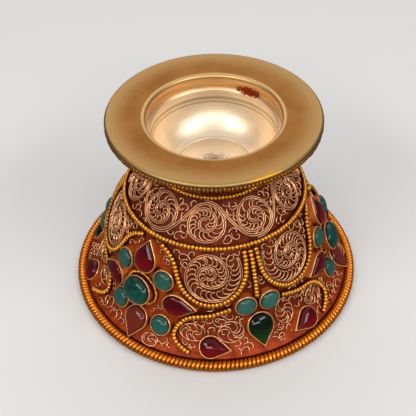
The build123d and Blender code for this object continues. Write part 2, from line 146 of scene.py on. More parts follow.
def new_node(tree, kind, settings=None, values=None):
    """Shader node with its settings; a value may be a number, a colour or another node's socket."""
    made = tree.nodes.new("ShaderNode" + kind)
    for key, value in (settings or {}).items():
        setattr(made, key, value)
    for key, value in (values or {}).items():
        if isinstance(value, bpy.types.NodeSocket):
            tree.links.new(value, made.inputs[key])
        else:
            made.inputs[key].default_value = value
    return made


def sums(tree, operation, first, second=0.5):
    """Result of a sum; the second value is idle where the operation takes one."""
    return new_node(tree, "Math", {"operation": operation}, {0: first, 1: second}).outputs[0]


def ramp(tree, value, low, high, to_low=0.0, to_high=1.0):
    """Smooth step of a value from low to high."""
    settings = {"interpolation_type": "SMOOTHSTEP"}
    sockets = {"Value": value, "From Min": low, "From Max": high, "To Min": to_low, "To Max": to_high}
    return new_node(tree, "MapRange", settings, sockets).outputs[0]


def mixed(tree, share, low, high, strength=1.0):
    """Colour between low and high, each a colour or a socket; a strength below 1 weakens the share."""
    if strength < 1.0:
        share = sums(tree, "MULTIPLY", share, strength)
    sockets = {0: share, 6: low, 7: high}
    return new_node(tree, "Mix", {"data_type": "RGBA"}, sockets).outputs[2]


def colour(red, green, blue):
    return (red, green, blue, 1.0)


def object_place(tree):
    return new_node(tree, "TexCoord").outputs["Object"]


def new_group(name, ins, outs):
    """Shader group with named sockets: ins as (name, type, default), outs as (name, type)."""
    group = bpy.data.node_groups.new(name, "ShaderNodeTree")
    for label, kind, default in ins:
        socket = group.interface.new_socket(label, in_out="INPUT", socket_type="NodeSocket" + kind)
        socket.default_value = default
    for label, kind in outs:
        group.interface.new_socket(label, in_out="OUTPUT", socket_type="NodeSocket" + kind)
    entry = group.nodes.new("NodeGroupInput")
    leave = group.nodes.new("NodeGroupOutput")
    return group, entry.outputs, leave.inputs


def placed(tree, group, values=None):
    """Outputs of a shader group put into a material."""
    return new_node(tree, "Group", {"node_tree": group}, values).outputs


def new_finish(name, **plain):
    """Material with one principled shader; plain values go on the shader's own sockets."""
    material = bpy.data.materials.new(name)
    material.use_nodes = True
    tree = material.node_tree
    shader = tree.nodes["Principled BSDF"]
    for key, value in plain.items():
        shader.inputs[key.replace("_", " ")].default_value = value
    return material, tree, shader


def lay_on(tree, shader, tone, rough, height, strength, depth):
    """Puts sockets for colour, roughness and a bump's height on a shader; the bump's depth is in mm."""
    sockets = {"Strength": strength, "Distance": depth * MM, "Height": height}
    bump = new_node(tree, "Bump", None, sockets).outputs[0]
    for label, socket in (("Base Color", tone), ("Roughness", rough), ("Normal", bump)):
        tree.links.new(socket, shader.inputs[label])


def noise(tree, scale, detail, rough):
    """Noise from 0 to 1 over the whole lamp."""
    sockets = {"Vector": object_place(tree), "Scale": scale, "Detail": detail, "Roughness": rough}
    return new_node(tree, "TexNoise", None, sockets).outputs[0]


def patches_group():
    """Uneven patches and a fine grain over a hand-made surface, sized in millimetres."""
    ins = [("Patch Size", "Float", 4.0), ("Grain Size", "Float", 0.3), ("Cover", "Float", 0.5)]
    group, entry, leave = new_group("hand_made_surface", ins, [("Patches", "Float"), ("Grain", "Float")])
    cloud = noise(group, sums(group, "DIVIDE", 1 / MM, entry["Patch Size"]), 4.0, 0.6)
    grain = noise(group, sums(group, "DIVIDE", 1 / MM, entry["Grain Size"]), 2.0, 0.55)
    shifted = sums(group, "SUBTRACT", sums(group, "ADD", cloud, entry["Cover"]), 0.5)
    group.links.new(ramp(group, shifted, 0.36, 0.64), leave["Patches"])
    group.links.new(grain, leave["Grain"])
    return group


def turned_group():
    """Fine lines left by the lathe, round the axis and up the walls, with a spot's reach and height in mm."""
    outs = [("Lines", "Float"), ("Reach", "Float"), ("Height", "Float")]
    group, entry, leave = new_group("lathe_lines", [("Line Width", "Float", 0.2)], outs)
    split = new_node(group, "SeparateXYZ", None, {0: object_place(group)}).outputs
    across = sums(group, "MULTIPLY", split[0], split[0])
    deep = sums(group, "MULTIPLY", split[1], split[1])
    reach = sums(group, "SQRT", sums(group, "ADD", across, deep))
    both = sums(group, "ADD", reach, sums(group, "MULTIPLY", split[2], 0.83))
    spread = sums(group, "DIVIDE", sums(group, "DIVIDE", both, MM), entry["Line Width"])
    sockets = {"W": spread, "Scale": 1.0, "Detail": 3.0}
    lines = new_node(group, "TexNoise", {"noise_dimensions": "1D"}, sockets)
    group.links.new(lines.outputs[0], leave["Lines"])
    group.links.new(sums(group, "DIVIDE", reach, MM), leave["Reach"])
    group.links.new(sums(group, "DIVIDE", split[2], MM), leave["Height"])
    return group


def mark(tree, label):
    """Value that a piece's mesh carries at its points."""
    return new_node(tree, "Attribute", {"attribute_name": label}).outputs["Fac"]


def stain_mask(tree, azimuth, reach, height, size, ragged):
    """Ragged stain; its size is half its length round the axis, its width outward and its height."""
    turn = radians(azimuth)
    sockets = {
        "Vector": object_place(tree),
        "Location": (reach * sin(turn) * MM, -reach * cos(turn) * MM, height * MM),
        "Rotation": (0.0, 0.0, turn),
        "Scale": tuple(half * MM for half in size),
    }
    local = new_node(tree, "Mapping", {"vector_type": "TEXTURE"}, sockets).outputs[0]
    away = new_node(tree, "VectorMath", {"operation": "LENGTH"}, {0: local}).outputs["Value"]
    return ramp(tree, sums(tree, "ADD", away, sums(tree, "MULTIPLY", ragged, 1.6)), 1.75, 1.45)


patches = patches_group()
turned = turned_group()


def hand_made(tree, patch, grain, cover):
    """Patches and grain of a hand-made surface, their sizes in mm."""
    return placed(tree, patches, {"Patch Size": patch, "Grain Size": grain, "Cover": cover})


bowl_brass, tree, shader = new_finish("turned_brass", Metallic=1.0)
turning = placed(tree, turned, {"Line Width": 0.34})
ragged = hand_made(tree, 1.7, 0.9, 0.5)["Grain"]
shine = mark(tree, "shine")
wall = mark(tree, "wall")
lip = mark(tree, "lip")
flange_patches = hand_made(tree, 9.0, 0.5, 0.5)["Patches"]
tone = mixed(tree, flange_patches, colour(0.28, 0.105, 0.017), colour(0.34, 0.140, 0.027))
paler = ramp(tree, turning["Reach"], FLANGE_PALE_FROM, RIM_RADIUS)
tone = mixed(tree, paler, tone, colour(0.46, 0.275, 0.10))
tone = mixed(tree, shine, tone, colour(0.88, 0.73, 0.54))
tone = mixed(tree, wall, tone, colour(0.78, 0.47, 0.20))
# The lip's paler tone is its polish and, in part, a painted highlight along the rounded edge.
tone = mixed(tree, lip, tone, colour(0.66, 0.42, 0.18))
tone = mixed(tree, ramp(tree, turning["Lines"], 0.45, 0.75, 0.0, 0.3), tone, colour(0.34, 0.20, 0.09))
for scribed in SCRIBED_LINES:
    off_line = sums(tree, "ABSOLUTE", sums(tree, "SUBTRACT", turning["Reach"], scribed))
    scribe = sums(tree, "MULTIPLY", ramp(tree, off_line, 0.09, 0.04, 0.0, 0.5), shine)
    tone = mixed(tree, scribe, tone, colour(0.26, 0.20, 0.13))
floor_rough = stain_mask(tree, 0.0, 0.0, WELL_FLOOR, (4.2, 4.2, 1.0), ragged)
tone = mixed(tree, floor_rough, tone, colour(0.42, 0.34, 0.25), 0.6)
red_stain = stain_mask(tree, 145.0, SEAT_RADIUS - 0.2, LEDGE + 0.7, (5.0, 1.5, 1.7), ragged)
tone = mixed(tree, red_stain, tone, colour(0.36, 0.055, 0.010))
yellowed = 0.0
for azimuth, below, size in RIM_STAINS:
    stain = stain_mask(tree, azimuth, RIM_RADIUS, RIM_TOP - below, size, ragged)
    yellowed = sums(tree, "MAXIMUM", yellowed, stain)
tone = mixed(tree, yellowed, tone, colour(0.70, 0.33, 0.02), 0.75)
line_rough = ramp(tree, turning["Lines"], 0.25, 0.75, 0.4, 0.52)
shiny = sums(tree, "MAXIMUM", shine, sums(tree, "MAXIMUM", wall, lip))
polish_rough = sums(tree, "SUBTRACT", line_rough, sums(tree, "MULTIPLY", shiny, 0.02))
stain_rough = sums(tree, "MULTIPLY", sums(tree, "MAXIMUM", red_stain, floor_rough), 0.3)
lay_on(tree, shader, tone, sums(tree, "ADD", polish_rough, stain_rough), turning["Lines"], 0.3, 0.03)

bowl_parts = {
    "socket": [
        (0.0, SOCKET_FLOOR),
        (SOCKET_RADIUS - 0.1, SOCKET_FLOOR),
        (SOCKET_RADIUS, SOCKET_FLOOR + 0.1),
        (SOCKET_RADIUS, WELL_FLOOR - 0.2),
    ],
    "floor": [
        (SOCKET_RADIUS + 0.2, WELL_FLOOR),
        (FLOOR_RADIUS, WELL_FLOOR),
        (FLOOR_RADIUS + 0.15, WELL_FLOOR - GROOVE_DEPTH),
        (FLOOR_RADIUS + 0.4, WELL_FLOOR - GROOVE_DEPTH),
        (FLOOR_RADIUS + 0.55, WELL_FLOOR),
    ],
    "well": arc((FLOOR_RADIUS + 0.7, WELL_FLOOR), (WELL_RADIUS, LEDGE - 0.15), -2.2, 30).tolist(),
    "ledge": [
        (WELL_RADIUS + 0.15, LEDGE),
        (WELL_RADIUS + 0.4, LEDGE),
        (WELL_RADIUS + 0.47, LEDGE - 0.08),
        (WELL_RADIUS + 0.55, LEDGE),
        (SEAT_RADIUS - 0.1, LEDGE),
    ],
    "wall": [
        (SEAT_RADIUS, LEDGE + 0.1),
        (SEAT_RADIUS, LEDGE + 1.4),
        (SEAT_RADIUS + 0.06, LEDGE + 1.5),
        (SEAT_RADIUS, LEDGE + 1.6),
        (SEAT_RADIUS, MOUTH_TOP - 1.2),
    ],
    "lip": arc((SEAT_RADIUS, MOUTH_TOP - LIP), (SEAT_RADIUS + LIP, MOUTH_TOP), 0.29, 10).tolist(),
    "flange": [(SEAT_RADIUS + 1.4, MOUTH_TOP + 0.02)] + [(out, MOUTH_TOP + up) for out, up in FLANGE_RISE],
    "edge": arc((RIM_RADIUS - 1.0, RIM_TOP), (RIM_RADIUS, RIM_TOP - 0.85), 0.27, 10).tolist(),
    "under": [(RIM_RADIUS, RIM_UNDER + 0.15), (RIM_RADIUS - 0.15, RIM_UNDER), (RIM_RADIUS - 2.2, RIM_UNDER)],
    "outside": arc((SEAT_RADIUS + 1.6, RIM_TOP - 2.8), (SPIGOT_RADIUS, SPIGOT_TOP), 1.9, 24).tolist(),
    "spigot": [(SPIGOT_RADIUS, BOWL_BOTTOM), (STUD_RADIUS, BOWL_BOTTOM)],
    "stud_hole": [(STUD_RADIUS, STUD_TOP), (0.0, STUD_TOP)],
}
bowl_outline = [point for part in bowl_parts.values() for point in part]
part_of_point = [name for name, part in bowl_parts.items() for point in part]
bowl_points, bowl_faces, bowl_rings = lathe(bowl_outline, TURN_STEPS)
marked_parts = {"shine": ("socket", "floor", "well", "ledge"), "wall": ("wall",), "lip": ("lip",)}
bowl_marks = {
    label: [part_of_point[ring] in parts for ring in bowl_rings] for label, parts in marked_parts.items()
}
make_piece(
    "bowl_turned", bowl_points, bowl_faces, bowl_brass, ["lamp_bowl"], bowl_marks, SHARP_FROM
)

# Foot shell: one sheet of brass raised to a dome, a sloping skirt and a flared brim, its crown folded in.
# The ground between the ornaments keeps a brick-red patina, more orange round the flowers and on the flare.
NECK = (16.2, 44.2)
SHOULDER = (26.4, 33.4)
WAIST = (33.8, 15.5)
BRIM = (41.8, 3.2)
BAYS = 3
BAY_STEP = 360 / BAYS
APRON_AZIMUTH = 19.5
FLOWER_AZIMUTH = APRON_AZIMUTH - BAY_STEP / 2


def gone_along(points):
    """Ways gone along a run of points, from 0 at the first."""
    return np.concatenate([[0.0], np.cumsum(np.linalg.norm(np.diff(points, axis=0), axis=1))])


dome = arc(NECK, SHOULDER, 0.9, 120)
skirt = arc(SHOULDER, WAIST, 1.1, 160)
flare = arc(WAIST, BRIM, -1.3, 120)
meridian = np.vstack([dome[:-1], skirt[:-1], flare])
way_down = gone_along(meridian)
meridian_run = np.gradient(meridian, axis=0)
meridian_run /= np.linalg.norm(meridian_run, axis=1)[:, None]
shoulder_along = way_down[len(dome) - 1]
waist_along = way_down[len(dome) + len(skirt) - 2]
FLOWER_ALONG = waist_along - 0.9
FLOWER_WARMTH = (19.0 * MM, 11.0 * MM)
FLARE_WARMTH = (15.0, 6.0)
apron_middles = [APRON_AZIMUTH + bay * BAY_STEP for bay in range(BAYS)]
flower_middles = [FLOWER_AZIMUTH + bay * BAY_STEP for bay in range(BAYS)]


def foot_out(azimuth, along):
    """Outward normals of the foot at azimuths in degrees and ways down from the neck in mm."""
    level = -np.interp(along, way_down, meridian_run[:, 1])
    up = np.interp(along, way_down, meridian_run[:, 0])
    return round_axis(np.radians(azimuth), level, up)


def foot_reach(along):
    return np.interp(along, way_down, meridian[:, 0])


def on_foot(azimuth, along, lift=0.0):
    """Points at a height of lift over the foot's outside."""
    height = np.interp(along, way_down, meridian[:, 1])
    spots = round_axis(np.radians(azimuth), foot_reach(along), height)
    return spots + foot_out(azimuth, along) * np.asarray(lift)[..., None]


def dress(node, material):
    """A carried-over part shown with a worked-out material."""
    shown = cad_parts[node]
    if not shown.material_slots:
        shown.data.materials.append(material)
    for slot in shown.material_slots:
        slot.material = material


def shade_in_corners_group():
    """Painted shade: darkens the colour in corners by ambient occlusion, within a reach in millimetres."""
    ins = [("Unshaded", "Color", colour(0.3, 0.1, 0.03)), ("Reach", "Float", 1.0)]
    group, entry, leave = new_group("painted_corner_shade", ins, [("Colour", "Color")])
    reach = sums(group, "MULTIPLY", entry["Reach"], MM)
    open_share = new_node(group, "AmbientOcclusion", {"samples": 8}, {"Distance": reach}).outputs["AO"]
    share = ramp(group, open_share, 0.85, 0.25, 0.0, 0.9)
    group.links.new(mixed(group, share, entry["Unshaded"], colour(0.022, 0.004, 0.002)), leave["Colour"])
    return group


corner_shade_nodes = shade_in_corners_group()

patina, tree, shader = new_finish("brick_patina", Metallic=0.35, Specular_IOR_Level=0.2)
surface = hand_made(tree, 3.5, 0.35, 0.5)
height = placed(tree, turned)["Height"]
ground = mixed(tree, surface["Patches"], colour(0.10, 0.010, 0.002), colour(0.24, 0.028, 0.004))
orange = mixed(tree, surface["Patches"], colour(0.30, 0.030, 0.003), colour(0.50, 0.062, 0.005))
warmth = ramp(tree, height, *FLARE_WARMTH, 0.0, 0.7)
for azimuth in flower_middles:
    sockets = {0: object_place(tree), 1: tuple(on_foot(azimuth, FLOWER_ALONG) * MM)}
    away = new_node(tree, "VectorMath", {"operation": "DISTANCE"}, sockets).outputs["Value"]
    warmth = sums(tree, "MAXIMUM", warmth, ramp(tree, away, *FLOWER_WARMTH))
tone = mixed(tree, warmth, ground, orange)
tone = mixed(tree, ramp(tree, surface["Grain"], 0.52, 0.72, 0.0, 0.5), tone, colour(0.10, 0.018, 0.006))
# Painted shade: the ground darkens by ambient occlusion next to the wires, beads and settings.
tone = placed(tree, corner_shade_nodes, {"Unshaded": tone, "Reach": 1.1})["Colour"]
rough = ramp(tree, surface["Grain"], 0.3, 0.7, 0.46, 0.66)
lay_on(tree, shader, tone, rough, surface["Grain"], 0.35, 0.12)
dress("base_shell", patina)

# Stud, washer and nut: plain turned steel inside the hollow foot.
# The stud is brazed into the bowl; the nut pulls it down against the washer under the foot's deck.
steel, tree, shader = new_finish("plain_steel", Metallic=1.0)
rust = hand_made(tree, 2.5, 0.3, 0.42)["Patches"]
tone = mixed(tree, rust, colour(0.50, 0.49, 0.47), colour(0.28, 0.20, 0.14))
turning = placed(tree, turned, {"Line Width": 0.25})
lay_on(tree, shader, tone, ramp(tree, rust, 0.0, 1.0, 0.3, 0.55), turning["Lines"], 0.4, 0.08)
for node in ("bowl_stud", "stud_washer", "stud_nut"):
    dress(node, steel)

# Bead wires round the rim, the neck and the shoulder: gilded wire rolled between grooved blocks into beads.
# Each is soldered on as a closed ring. Handling keeps the crests bright and leaves patina in the grooves; the
# bright crests are partly a painted highlight and the dark grooves partly painted shade.
SEED = 11
chance = np.random.default_rng(SEED)
SOLDER_GAP = 0.03
BEAD_CROWDING = 0.7
BEAD_ROUND = 14
BEAD_LONG = 10
BEAD_FULLNESS = 0.72
BEAD_HALF_LENGTH = 0.53
BEAD_UNEVEN = 0.035
BEAD_SHIFT = 0.03
BEAD_TILT = 0.10
RIM_BEAD = 0.76
RIM_BEAD_REACH = RIM_RADIUS - 0.7
RIM_BEAD_HEIGHT = RIM_UNDER - RIM_BEAD - SOLDER_GAP
RIM_BEAD_OUT = (0.9, 0.3)
NECK_BEAD = 0.72
NECK_ALONG = 1.0
SHOULDER_BEAD = 0.8
groove_brown = colour(0.13, 0.020, 0.002)

# One squat bead, turned on its own axis, with its points as (along, out, side).
bead_outline = [(sin(turn) ** BEAD_FULLNESS, -cos(turn)) for turn in np.linspace(0.0, pi, BEAD_LONG + 1)]
bead_skin, bead_faces = lathe(bead_outline, BEAD_ROUND)[:2]
bead_points = np.array(bead_skin)[:, (2, 1, 0)] * (1, -1, 1)


def unit(vectors):
    return vectors / np.linalg.norm(vectors, axis=-1)[..., None]


def new_store():
    return {"points": [], "faces": [], "marks": {}, "count": 0}


def put(store, points, faces, **marks):
    """Adds a mesh with the values its points carry to a store of meshes that become one piece."""
    first = store["count"]
    store["points"].append(points)
    store["faces"] += [tuple(first + corner for corner in face) for face in faces]
    for label, values in marks.items():
        store["marks"].setdefault(label, []).append(np.broadcast_to(values, len(points)))
    store["count"] += len(points)


def make_stored(name, store, material, nodes):
    """Piece from all the meshes in a store."""
    marks = {label: np.concatenate(values) for label, values in store["marks"].items()}
    make_piece(name, np.vstack(store["points"]), store["faces"], material, nodes, marks)


def put_beads(store, centres, outs, radius, closed):
    """String of beads on given centres, each a little different in size and seat."""
    if closed:
        runs = np.roll(centres, -1, axis=0) - np.roll(centres, 1, axis=0)
    else:
        runs = np.gradient(centres, axis=0)
    pitch = np.linalg.norm(centres[1] - centres[0])
    runs = unit(runs)
    sides = unit(np.cross(runs, outs))
    outs = np.cross(sides, runs)
    for centre, run, out, side in zip(centres, runs, outs, sides):
        size = radius * (1 + BEAD_UNEVEN * chance.standard_normal())
        seat = centre + side * BEAD_SHIFT * chance.standard_normal()
        seat += run * BEAD_SHIFT * chance.standard_normal()
        tilt = BEAD_TILT * chance.standard_normal()
        leaned_run = run * cos(tilt) + side * sin(tilt)
        leaned_side = side * cos(tilt) - run * sin(tilt)
        long = bead_points[:, :1] * leaned_run * pitch * BEAD_HALF_LENGTH
        wide = (bead_points[:, 1:2] * out + bead_points[:, 2:] * leaned_side) * size
        put(store, seat + long + wide, bead_faces, rise=0.5 + 0.5 * bead_points[:, 1])


def crest_group():
    """Bright metal on crests and patina in the grooves, from how far a point stands up on its piece; the
    bright crests are partly a painted highlight and the dark grooves partly painted shade.
    """
    ins = [("Groove", "Color", colour(0.3, 0.07, 0.01)), ("Crest", "Color", colour(0.9, 0.5, 0.15))]
    ins += [("From", "Float", 0.55), ("To", "Float", 0.95), ("Unevenness", "Float", 0.25)]
    group, entry, leave = new_group("crest_light_and_groove_shade", ins, [("Colour", "Color"), ("Crest Share", "Float")])
    uneven = sums(group, "SUBTRACT", noise(group, 700.0, 3.0, 0.5), 0.5)
    swing = sums(group, "MULTIPLY", uneven, entry["Unevenness"])
    crest_share = ramp(group, sums(group, "ADD", mark(group, "rise"), swing), entry["From"], entry["To"])
    group.links.new(mixed(group, crest_share, entry["Groove"], entry["Crest"]), leave["Colour"])
    group.links.new(crest_share, leave["Crest Share"])
    return group


crests = crest_group()


def gilding(name, low, crest, crest_ramp, patch, stain, smooth, bump, over=None, **plain):
    """Gilt metal: dark low down and bright on the crests, from patina and wear together with painted shade
    and painted highlight, and stained in patches; over alters the tone.
    """
    material, tree, shader = new_finish(name, **plain)
    crest_tones = placed(tree, crests, {"Groove": low, "Crest": crest, "From": crest_ramp[0], "To": crest_ramp[1]})
    surface = hand_made(tree, *patch)
    tone = mixed(tree, surface["Patches"], crest_tones["Colour"], *stain)
    if over:
        tone = over(tree, tone)
    rough = ramp(tree, crest_tones["Crest Share"], 0.0, 1.0, 0.5, smooth)
    lay_on(tree, shader, tone, rough, surface["Grain"], *bump)
    return material


def shaded_under_rim(tree, tone):
    """Painted shade: the ring under the rim's flange is painted browner than the wires on the foot."""
    height = placed(tree, turned)["Height"]
    under_rim = ramp(tree, height, NECK[1] + 6.0, NECK[1] + 9.0, 0.0, 0.75)
    return mixed(tree, under_rim, tone, colour(0.24, 0.055, 0.004))


bead_gold = gilding(
    "bead_gilding",
    low=groove_brown,
    crest=colour(1.0, 0.42, 0.036),
    crest_ramp=(0.5, 0.92),
    patch=(6.0, 0.2, 0.42),
    stain=(colour(0.58, 0.17, 0.02), 0.3),
    smooth=0.32,
    bump=(0.15, 0.03),
    over=shaded_under_rim,
    Metallic=0.8,
)


def ring_of_beads(name, node, reach, height, radius, out):
    """Closed ring of beads round the lamp; out is the crest's direction in (outward, up)."""
    count = round(2 * pi * reach / (2 * radius * BEAD_CROWDING))
    turns = full_turn(count)
    store = new_store()
    put_beads(store, round_axis(turns, reach, height), round_axis(turns, *out), radius, True)
    make_stored(name, store, bead_gold, [node])


def ring_on_foot(name, node, along, radius):
    """Closed ring of beads on the foot."""
    spot = on_foot(0.0, along, radius + SOLDER_GAP)
    out = foot_out(0.0, along)
    ring_of_beads(name, node, -spot[1], spot[2], radius, (-out[1], out[2]))


ring_of_beads("rim_beads", "rim_bead_wire", RIM_BEAD_REACH, RIM_BEAD_HEIGHT, RIM_BEAD, RIM_BEAD_OUT)
ring_on_foot("neck_beads", "neck_bead_wire", NECK_ALONG, NECK_BEAD)
ring_on_foot("shoulder_beads", "shoulder_bead_wire", shoulder_along, SHOULDER_BEAD)

# Foot rope: a round wire wound close to a thick coil, bent to a ring and soldered round the brim.
# It carries the lamp. Its turns are rubbed to an orange gold, and brown patina stays between them; the bright
# turns are partly a painted highlight and the brown between them partly painted shade.
ROPE_RADIUS = 1.6
ROPE_WIRE = 0.66
ROPE_PITCH = 1.25
ROPE_REACH = BRIM[0] + ROPE_RADIUS + SOLDER_GAP
ROPE_HEIGHT = ROPE_RADIUS + 0.2
ROPE_WOBBLE = 0.03
ROPE_WAVES = (61, 17)
ROPE_TURN_STEPS = 18
ROPE_ROUND = 8


def ring_faces(rings, size, closed=False):
    """Quads between rings of points that follow each other; closed joins the last ring to the first."""
    faces = []
    for ring in range(rings if closed else rings - 1):
        near = ring * size
        far = (ring + 1) % rings * size
        for spot in range(size):
            after = (spot + 1) % size
            faces.append((near + spot, near + after, far + after, far + spot))
    return faces


def rope_mesh():
    """Wire wound round a ring, as points, faces and how far out on the wire each point lies."""
    coils = round(2 * pi * ROPE_REACH / ROPE_PITCH)
    count = coils * ROPE_TURN_STEPS
    place = full_turn(count)
    wind = place * coils
    wobble = 1 + ROPE_WOBBLE * np.sin(place * ROPE_WAVES[0]) * np.sin(place * ROPE_WAVES[1])
    coil = (ROPE_RADIUS - ROPE_WIRE) * wobble
    around = round_axis(place, 1.0, 0.0)
    up = np.array([0.0, 0.0, 1.0])
    spoke = around * np.cos(wind)[:, None] + up * np.sin(wind)[:, None]
    middle = around * ROPE_REACH + up * ROPE_HEIGHT + spoke * coil[:, None]
    run = unit(np.roll(middle, -1, axis=0) - np.roll(middle, 1, axis=0))
    side = unit(np.cross(run, spoke))
    spoke = np.cross(side, run)
    spins = full_turn(ROPE_ROUND)
    rows = [middle + spoke * ROPE_WIRE * cos(spin) + side * ROPE_WIRE * sin(spin) for spin in spins]
    rise = np.tile(0.5 + 0.5 * np.cos(spins), count)
    return np.stack(rows, axis=1).reshape(-1, 3), ring_faces(count, ROPE_ROUND, closed=True), rise


rope_gold = gilding(
    "rope_gilding",
    low=groove_brown,
    crest=colour(0.95, 0.28, 0.018),
    crest_ramp=(0.55, 0.95),
    patch=(6.0, 0.25, 0.5),
    stain=(colour(0.50, 0.12, 0.012), 0.35),
    smooth=0.28,
    bump=(0.25, 0.05),
    Metallic=0.8,
)
rope_points, rope_faces, rope_rise = rope_mesh()
rope_marks = {"rise": rope_rise}
make_piece("foot_rope", rope_points, rope_faces, rope_gold, ["foot_rope_wire"], rope_marks)

# Window frames, bars and arms: finer bead wire bent along the skirt and the flare and soldered down.
# Two open frames and a straight bar between them make up each apron's top, with an arm on either side below.
# Their paths are in degrees from the apron's middle and mm down; those with two sides are mirrored.
FINE_BEAD = 0.8
FINE_CROWDING = 0.72
BEAD_ROOM = 0.25
PATH_POINTS = 240
WINDOW_PATH = [(3.6, 1.9), (4.2, 7.5), (13.0, 15.2), (26.0, 17.0), (39.0, 11.0), (43.5, 5.5), (52.0, 2.0)]
ARM_PATH = [(14.0, -0.6), (26.0, 1.8), (36.5, 4.6), (39.3, 8.5), (32.0, 13.6)]
BAR_PATH = [(0.0, 2.0), (0.0, 15.6)]
APRON_WIRES = [
    ("window_frames", "window_frame_wires", WINDOW_PATH, shoulder_along, (-1, 1)),
    ("apron_bar", "apron_bar_wire", BAR_PATH, shoulder_along, (1,)),
    ("apron_arms", "apron_arm_wires", ARM_PATH, waist_along, (-1, 1)),
]
covered = []


def smooth_path(knots, count):
    """Points of a natural cubic curve through the knots."""
    knots = np.array(knots, float)
    spans = np.linalg.norm(np.diff(knots, axis=0), axis=1)
    marks = gone_along(knots)
    size = len(knots)
    system = np.eye(size)
    goal = np.zeros_like(knots)
    for place in range(1, size - 1):
        before = spans[place - 1]
        after = spans[place]
        system[place, place - 1 : place + 2] = (before, 2 * (before + after), after)
        rise_after = (knots[place + 1] - knots[place]) / after
        rise_before = (knots[place] - knots[place - 1]) / before
        goal[place] = 6 * (rise_after - rise_before)
    bends = np.linalg.solve(system, goal)
    ways = np.linspace(0, marks[-1], count)
    spot = np.clip(np.searchsorted(marks, ways, side="right") - 1, 0, size - 2)
    span = spans[spot][:, None]
    ahead = (marks[spot + 1] - ways)[:, None]
    past = (ways - marks[spot])[:, None]
    curve = (bends[spot] * ahead**3 + bends[spot + 1] * past**3) / (6 * span)
    curve += (knots[spot] / span - bends[spot] * span / 6) * ahead
    curve += (knots[spot + 1] / span - bends[spot + 1] * span / 6) * past
    return curve


def at_ways(ways, gone, line):
    """The columns of a line's points at some ways gone along it."""
    return [np.interp(ways, gone, column) for column in line.T]


def even_spots(chart, pitch, closed):
    """Chart spots at an even pitch along a fine run of chart spots."""
    if closed:
        chart = np.vstack([chart, chart[:1]])
    gone = gone_along(on_foot(*chart.T))
    spaces = round(gone[-1] / pitch)
    goals = np.linspace(0, gone[-1], spaces + 1)
    if closed:
        goals = goals[:-1]
    return at_ways(goals, gone, chart)


def put_bead_path(store, chart, radius, closed=False):
    """Beads along a fine run of chart spots, which counts as covered ground from then on."""
    azimuth, along = even_spots(chart, 2 * radius * FINE_CROWDING, closed)
    covered.append((azimuth, along, radius + BEAD_ROOM))
    centres = on_foot(azimuth, along, radius + SOLDER_GAP)
    put_beads(store, centres, foot_out(azimuth, along), radius, closed)


for bay, middle in enumerate(apron_middles, start=1):
    for name, node, knots, level, sides in APRON_WIRES:
        store = new_store()
        path = smooth_path(knots, PATH_POINTS)
        for side in sides:
            chart = np.stack([middle + side * path[:, 0], level + path[:, 1]], axis=-1)
            put_bead_path(store, chart, FINE_BEAD)
        make_stored(f"{name}_{bay}", store, bead_gold, [f"{node}_{bay}"])

# Bezels: a strip of thin gilt sheet bent round each stone, soldered to the foot and rubbed over the stone.
# The strip's edge is rubbed bright and a little uneven, with a painted highlight on it, and its wall keeps
# the orange of the ground, with painted shade by ambient occlusion where it meets the ground.
# A flower's stones lie in mm across and below its middle, and a petal's tip turns from straight up.
ROUND_STONE = 2.85
PETAL_STONE = (3.5, 6.0)
DARK_STONE = (3.7, 6.0)
RED_STONE = (3.0, 5.6)
OUTLINE_STEPS = 72
FLOWER_PETALS = [(0.0, -11.7, 0.0), (-11.6, 0.7, 90.0), (0.9, 10.9, 180.0), (12.9, 0.0, 270.0)]
FLOWER_ROUNDS = [(-7.5, -7.0), (-6.0, 6.9), (7.5, -7.0), (8.2, 8.3)]
APRON_ROUND_ALONG = waist_along - 1.4
APRON_ROUND_SIDE = degrees(3.5 / foot_reach(APRON_ROUND_ALONG))
APRON_DROP_ALONG = waist_along + 7.8
APRON_RED_SIDE = 21.0
APRON_RED_ALONG = waist_along + 11.6
APRON_RED_TURN = 100.0
COVER_SHARES = (0.0, 0.25, 0.5, 0.75, 1.0)
COVER_ROOM = 0.75
SETTING_GAP = 0.04
FOOT_SINK = 0.05
ROUND_WAVE = 0.08
DROP_WAVE = 0.12
BEZEL_HEIGHT = 1.5
BEZEL_PROFILE = [
    (0.75, None, 0.0),
    (0.50, 0.30, 0.15),
    (0.44, 1.10, 0.45),
    (0.42, 1.42, 0.8),
    (0.30, 1.60, 1.0),
    (0.12, 1.62, 1.0),
    (0.02, 1.50, 0.9),
    (0.04, 0.70, 0.2),
]


def oval_outline(size, margin):
    """Oval with its half lengths across and upward, wider by a margin."""
    turns = full_turn(OUTLINE_STEPS)
    return np.stack([(size[0] + margin) * np.cos(turns), (size[1] + margin) * np.sin(turns)], axis=-1)


def round_outline(radius, margin):
    return oval_outline((radius, radius), margin)


def drop_outline(size, margin):
    """Round belly with two tangents to a tip up, wider by a margin, about the middle of the length."""
    radius, tip = size
    touch = acos(radius / tip)
    reach = radius + margin
    belly_steps = OUTLINE_STEPS * 2 // 3
    side_steps = (OUTLINE_STEPS - belly_steps) // 2
    turns = np.linspace(pi / 2 + touch, 5 * pi / 2 - touch, belly_steps, endpoint=False)
    belly = np.stack([reach * np.cos(turns), reach * np.sin(turns)], axis=-1)
    end = np.array([0.0, reach * tip / radius])
    share = np.linspace(0, 1, side_steps, endpoint=False)[:, None]
    right = np.array([reach * sin(touch), reach * cos(touch)])
    left = right * np.array([-1.0, 1.0])
    sides = np.vstack([right * (1 - share) + end * share, end * (1 - share) + left * share])
    return np.vstack([belly, sides]) - np.array([0.0, (tip - radius) / 2])


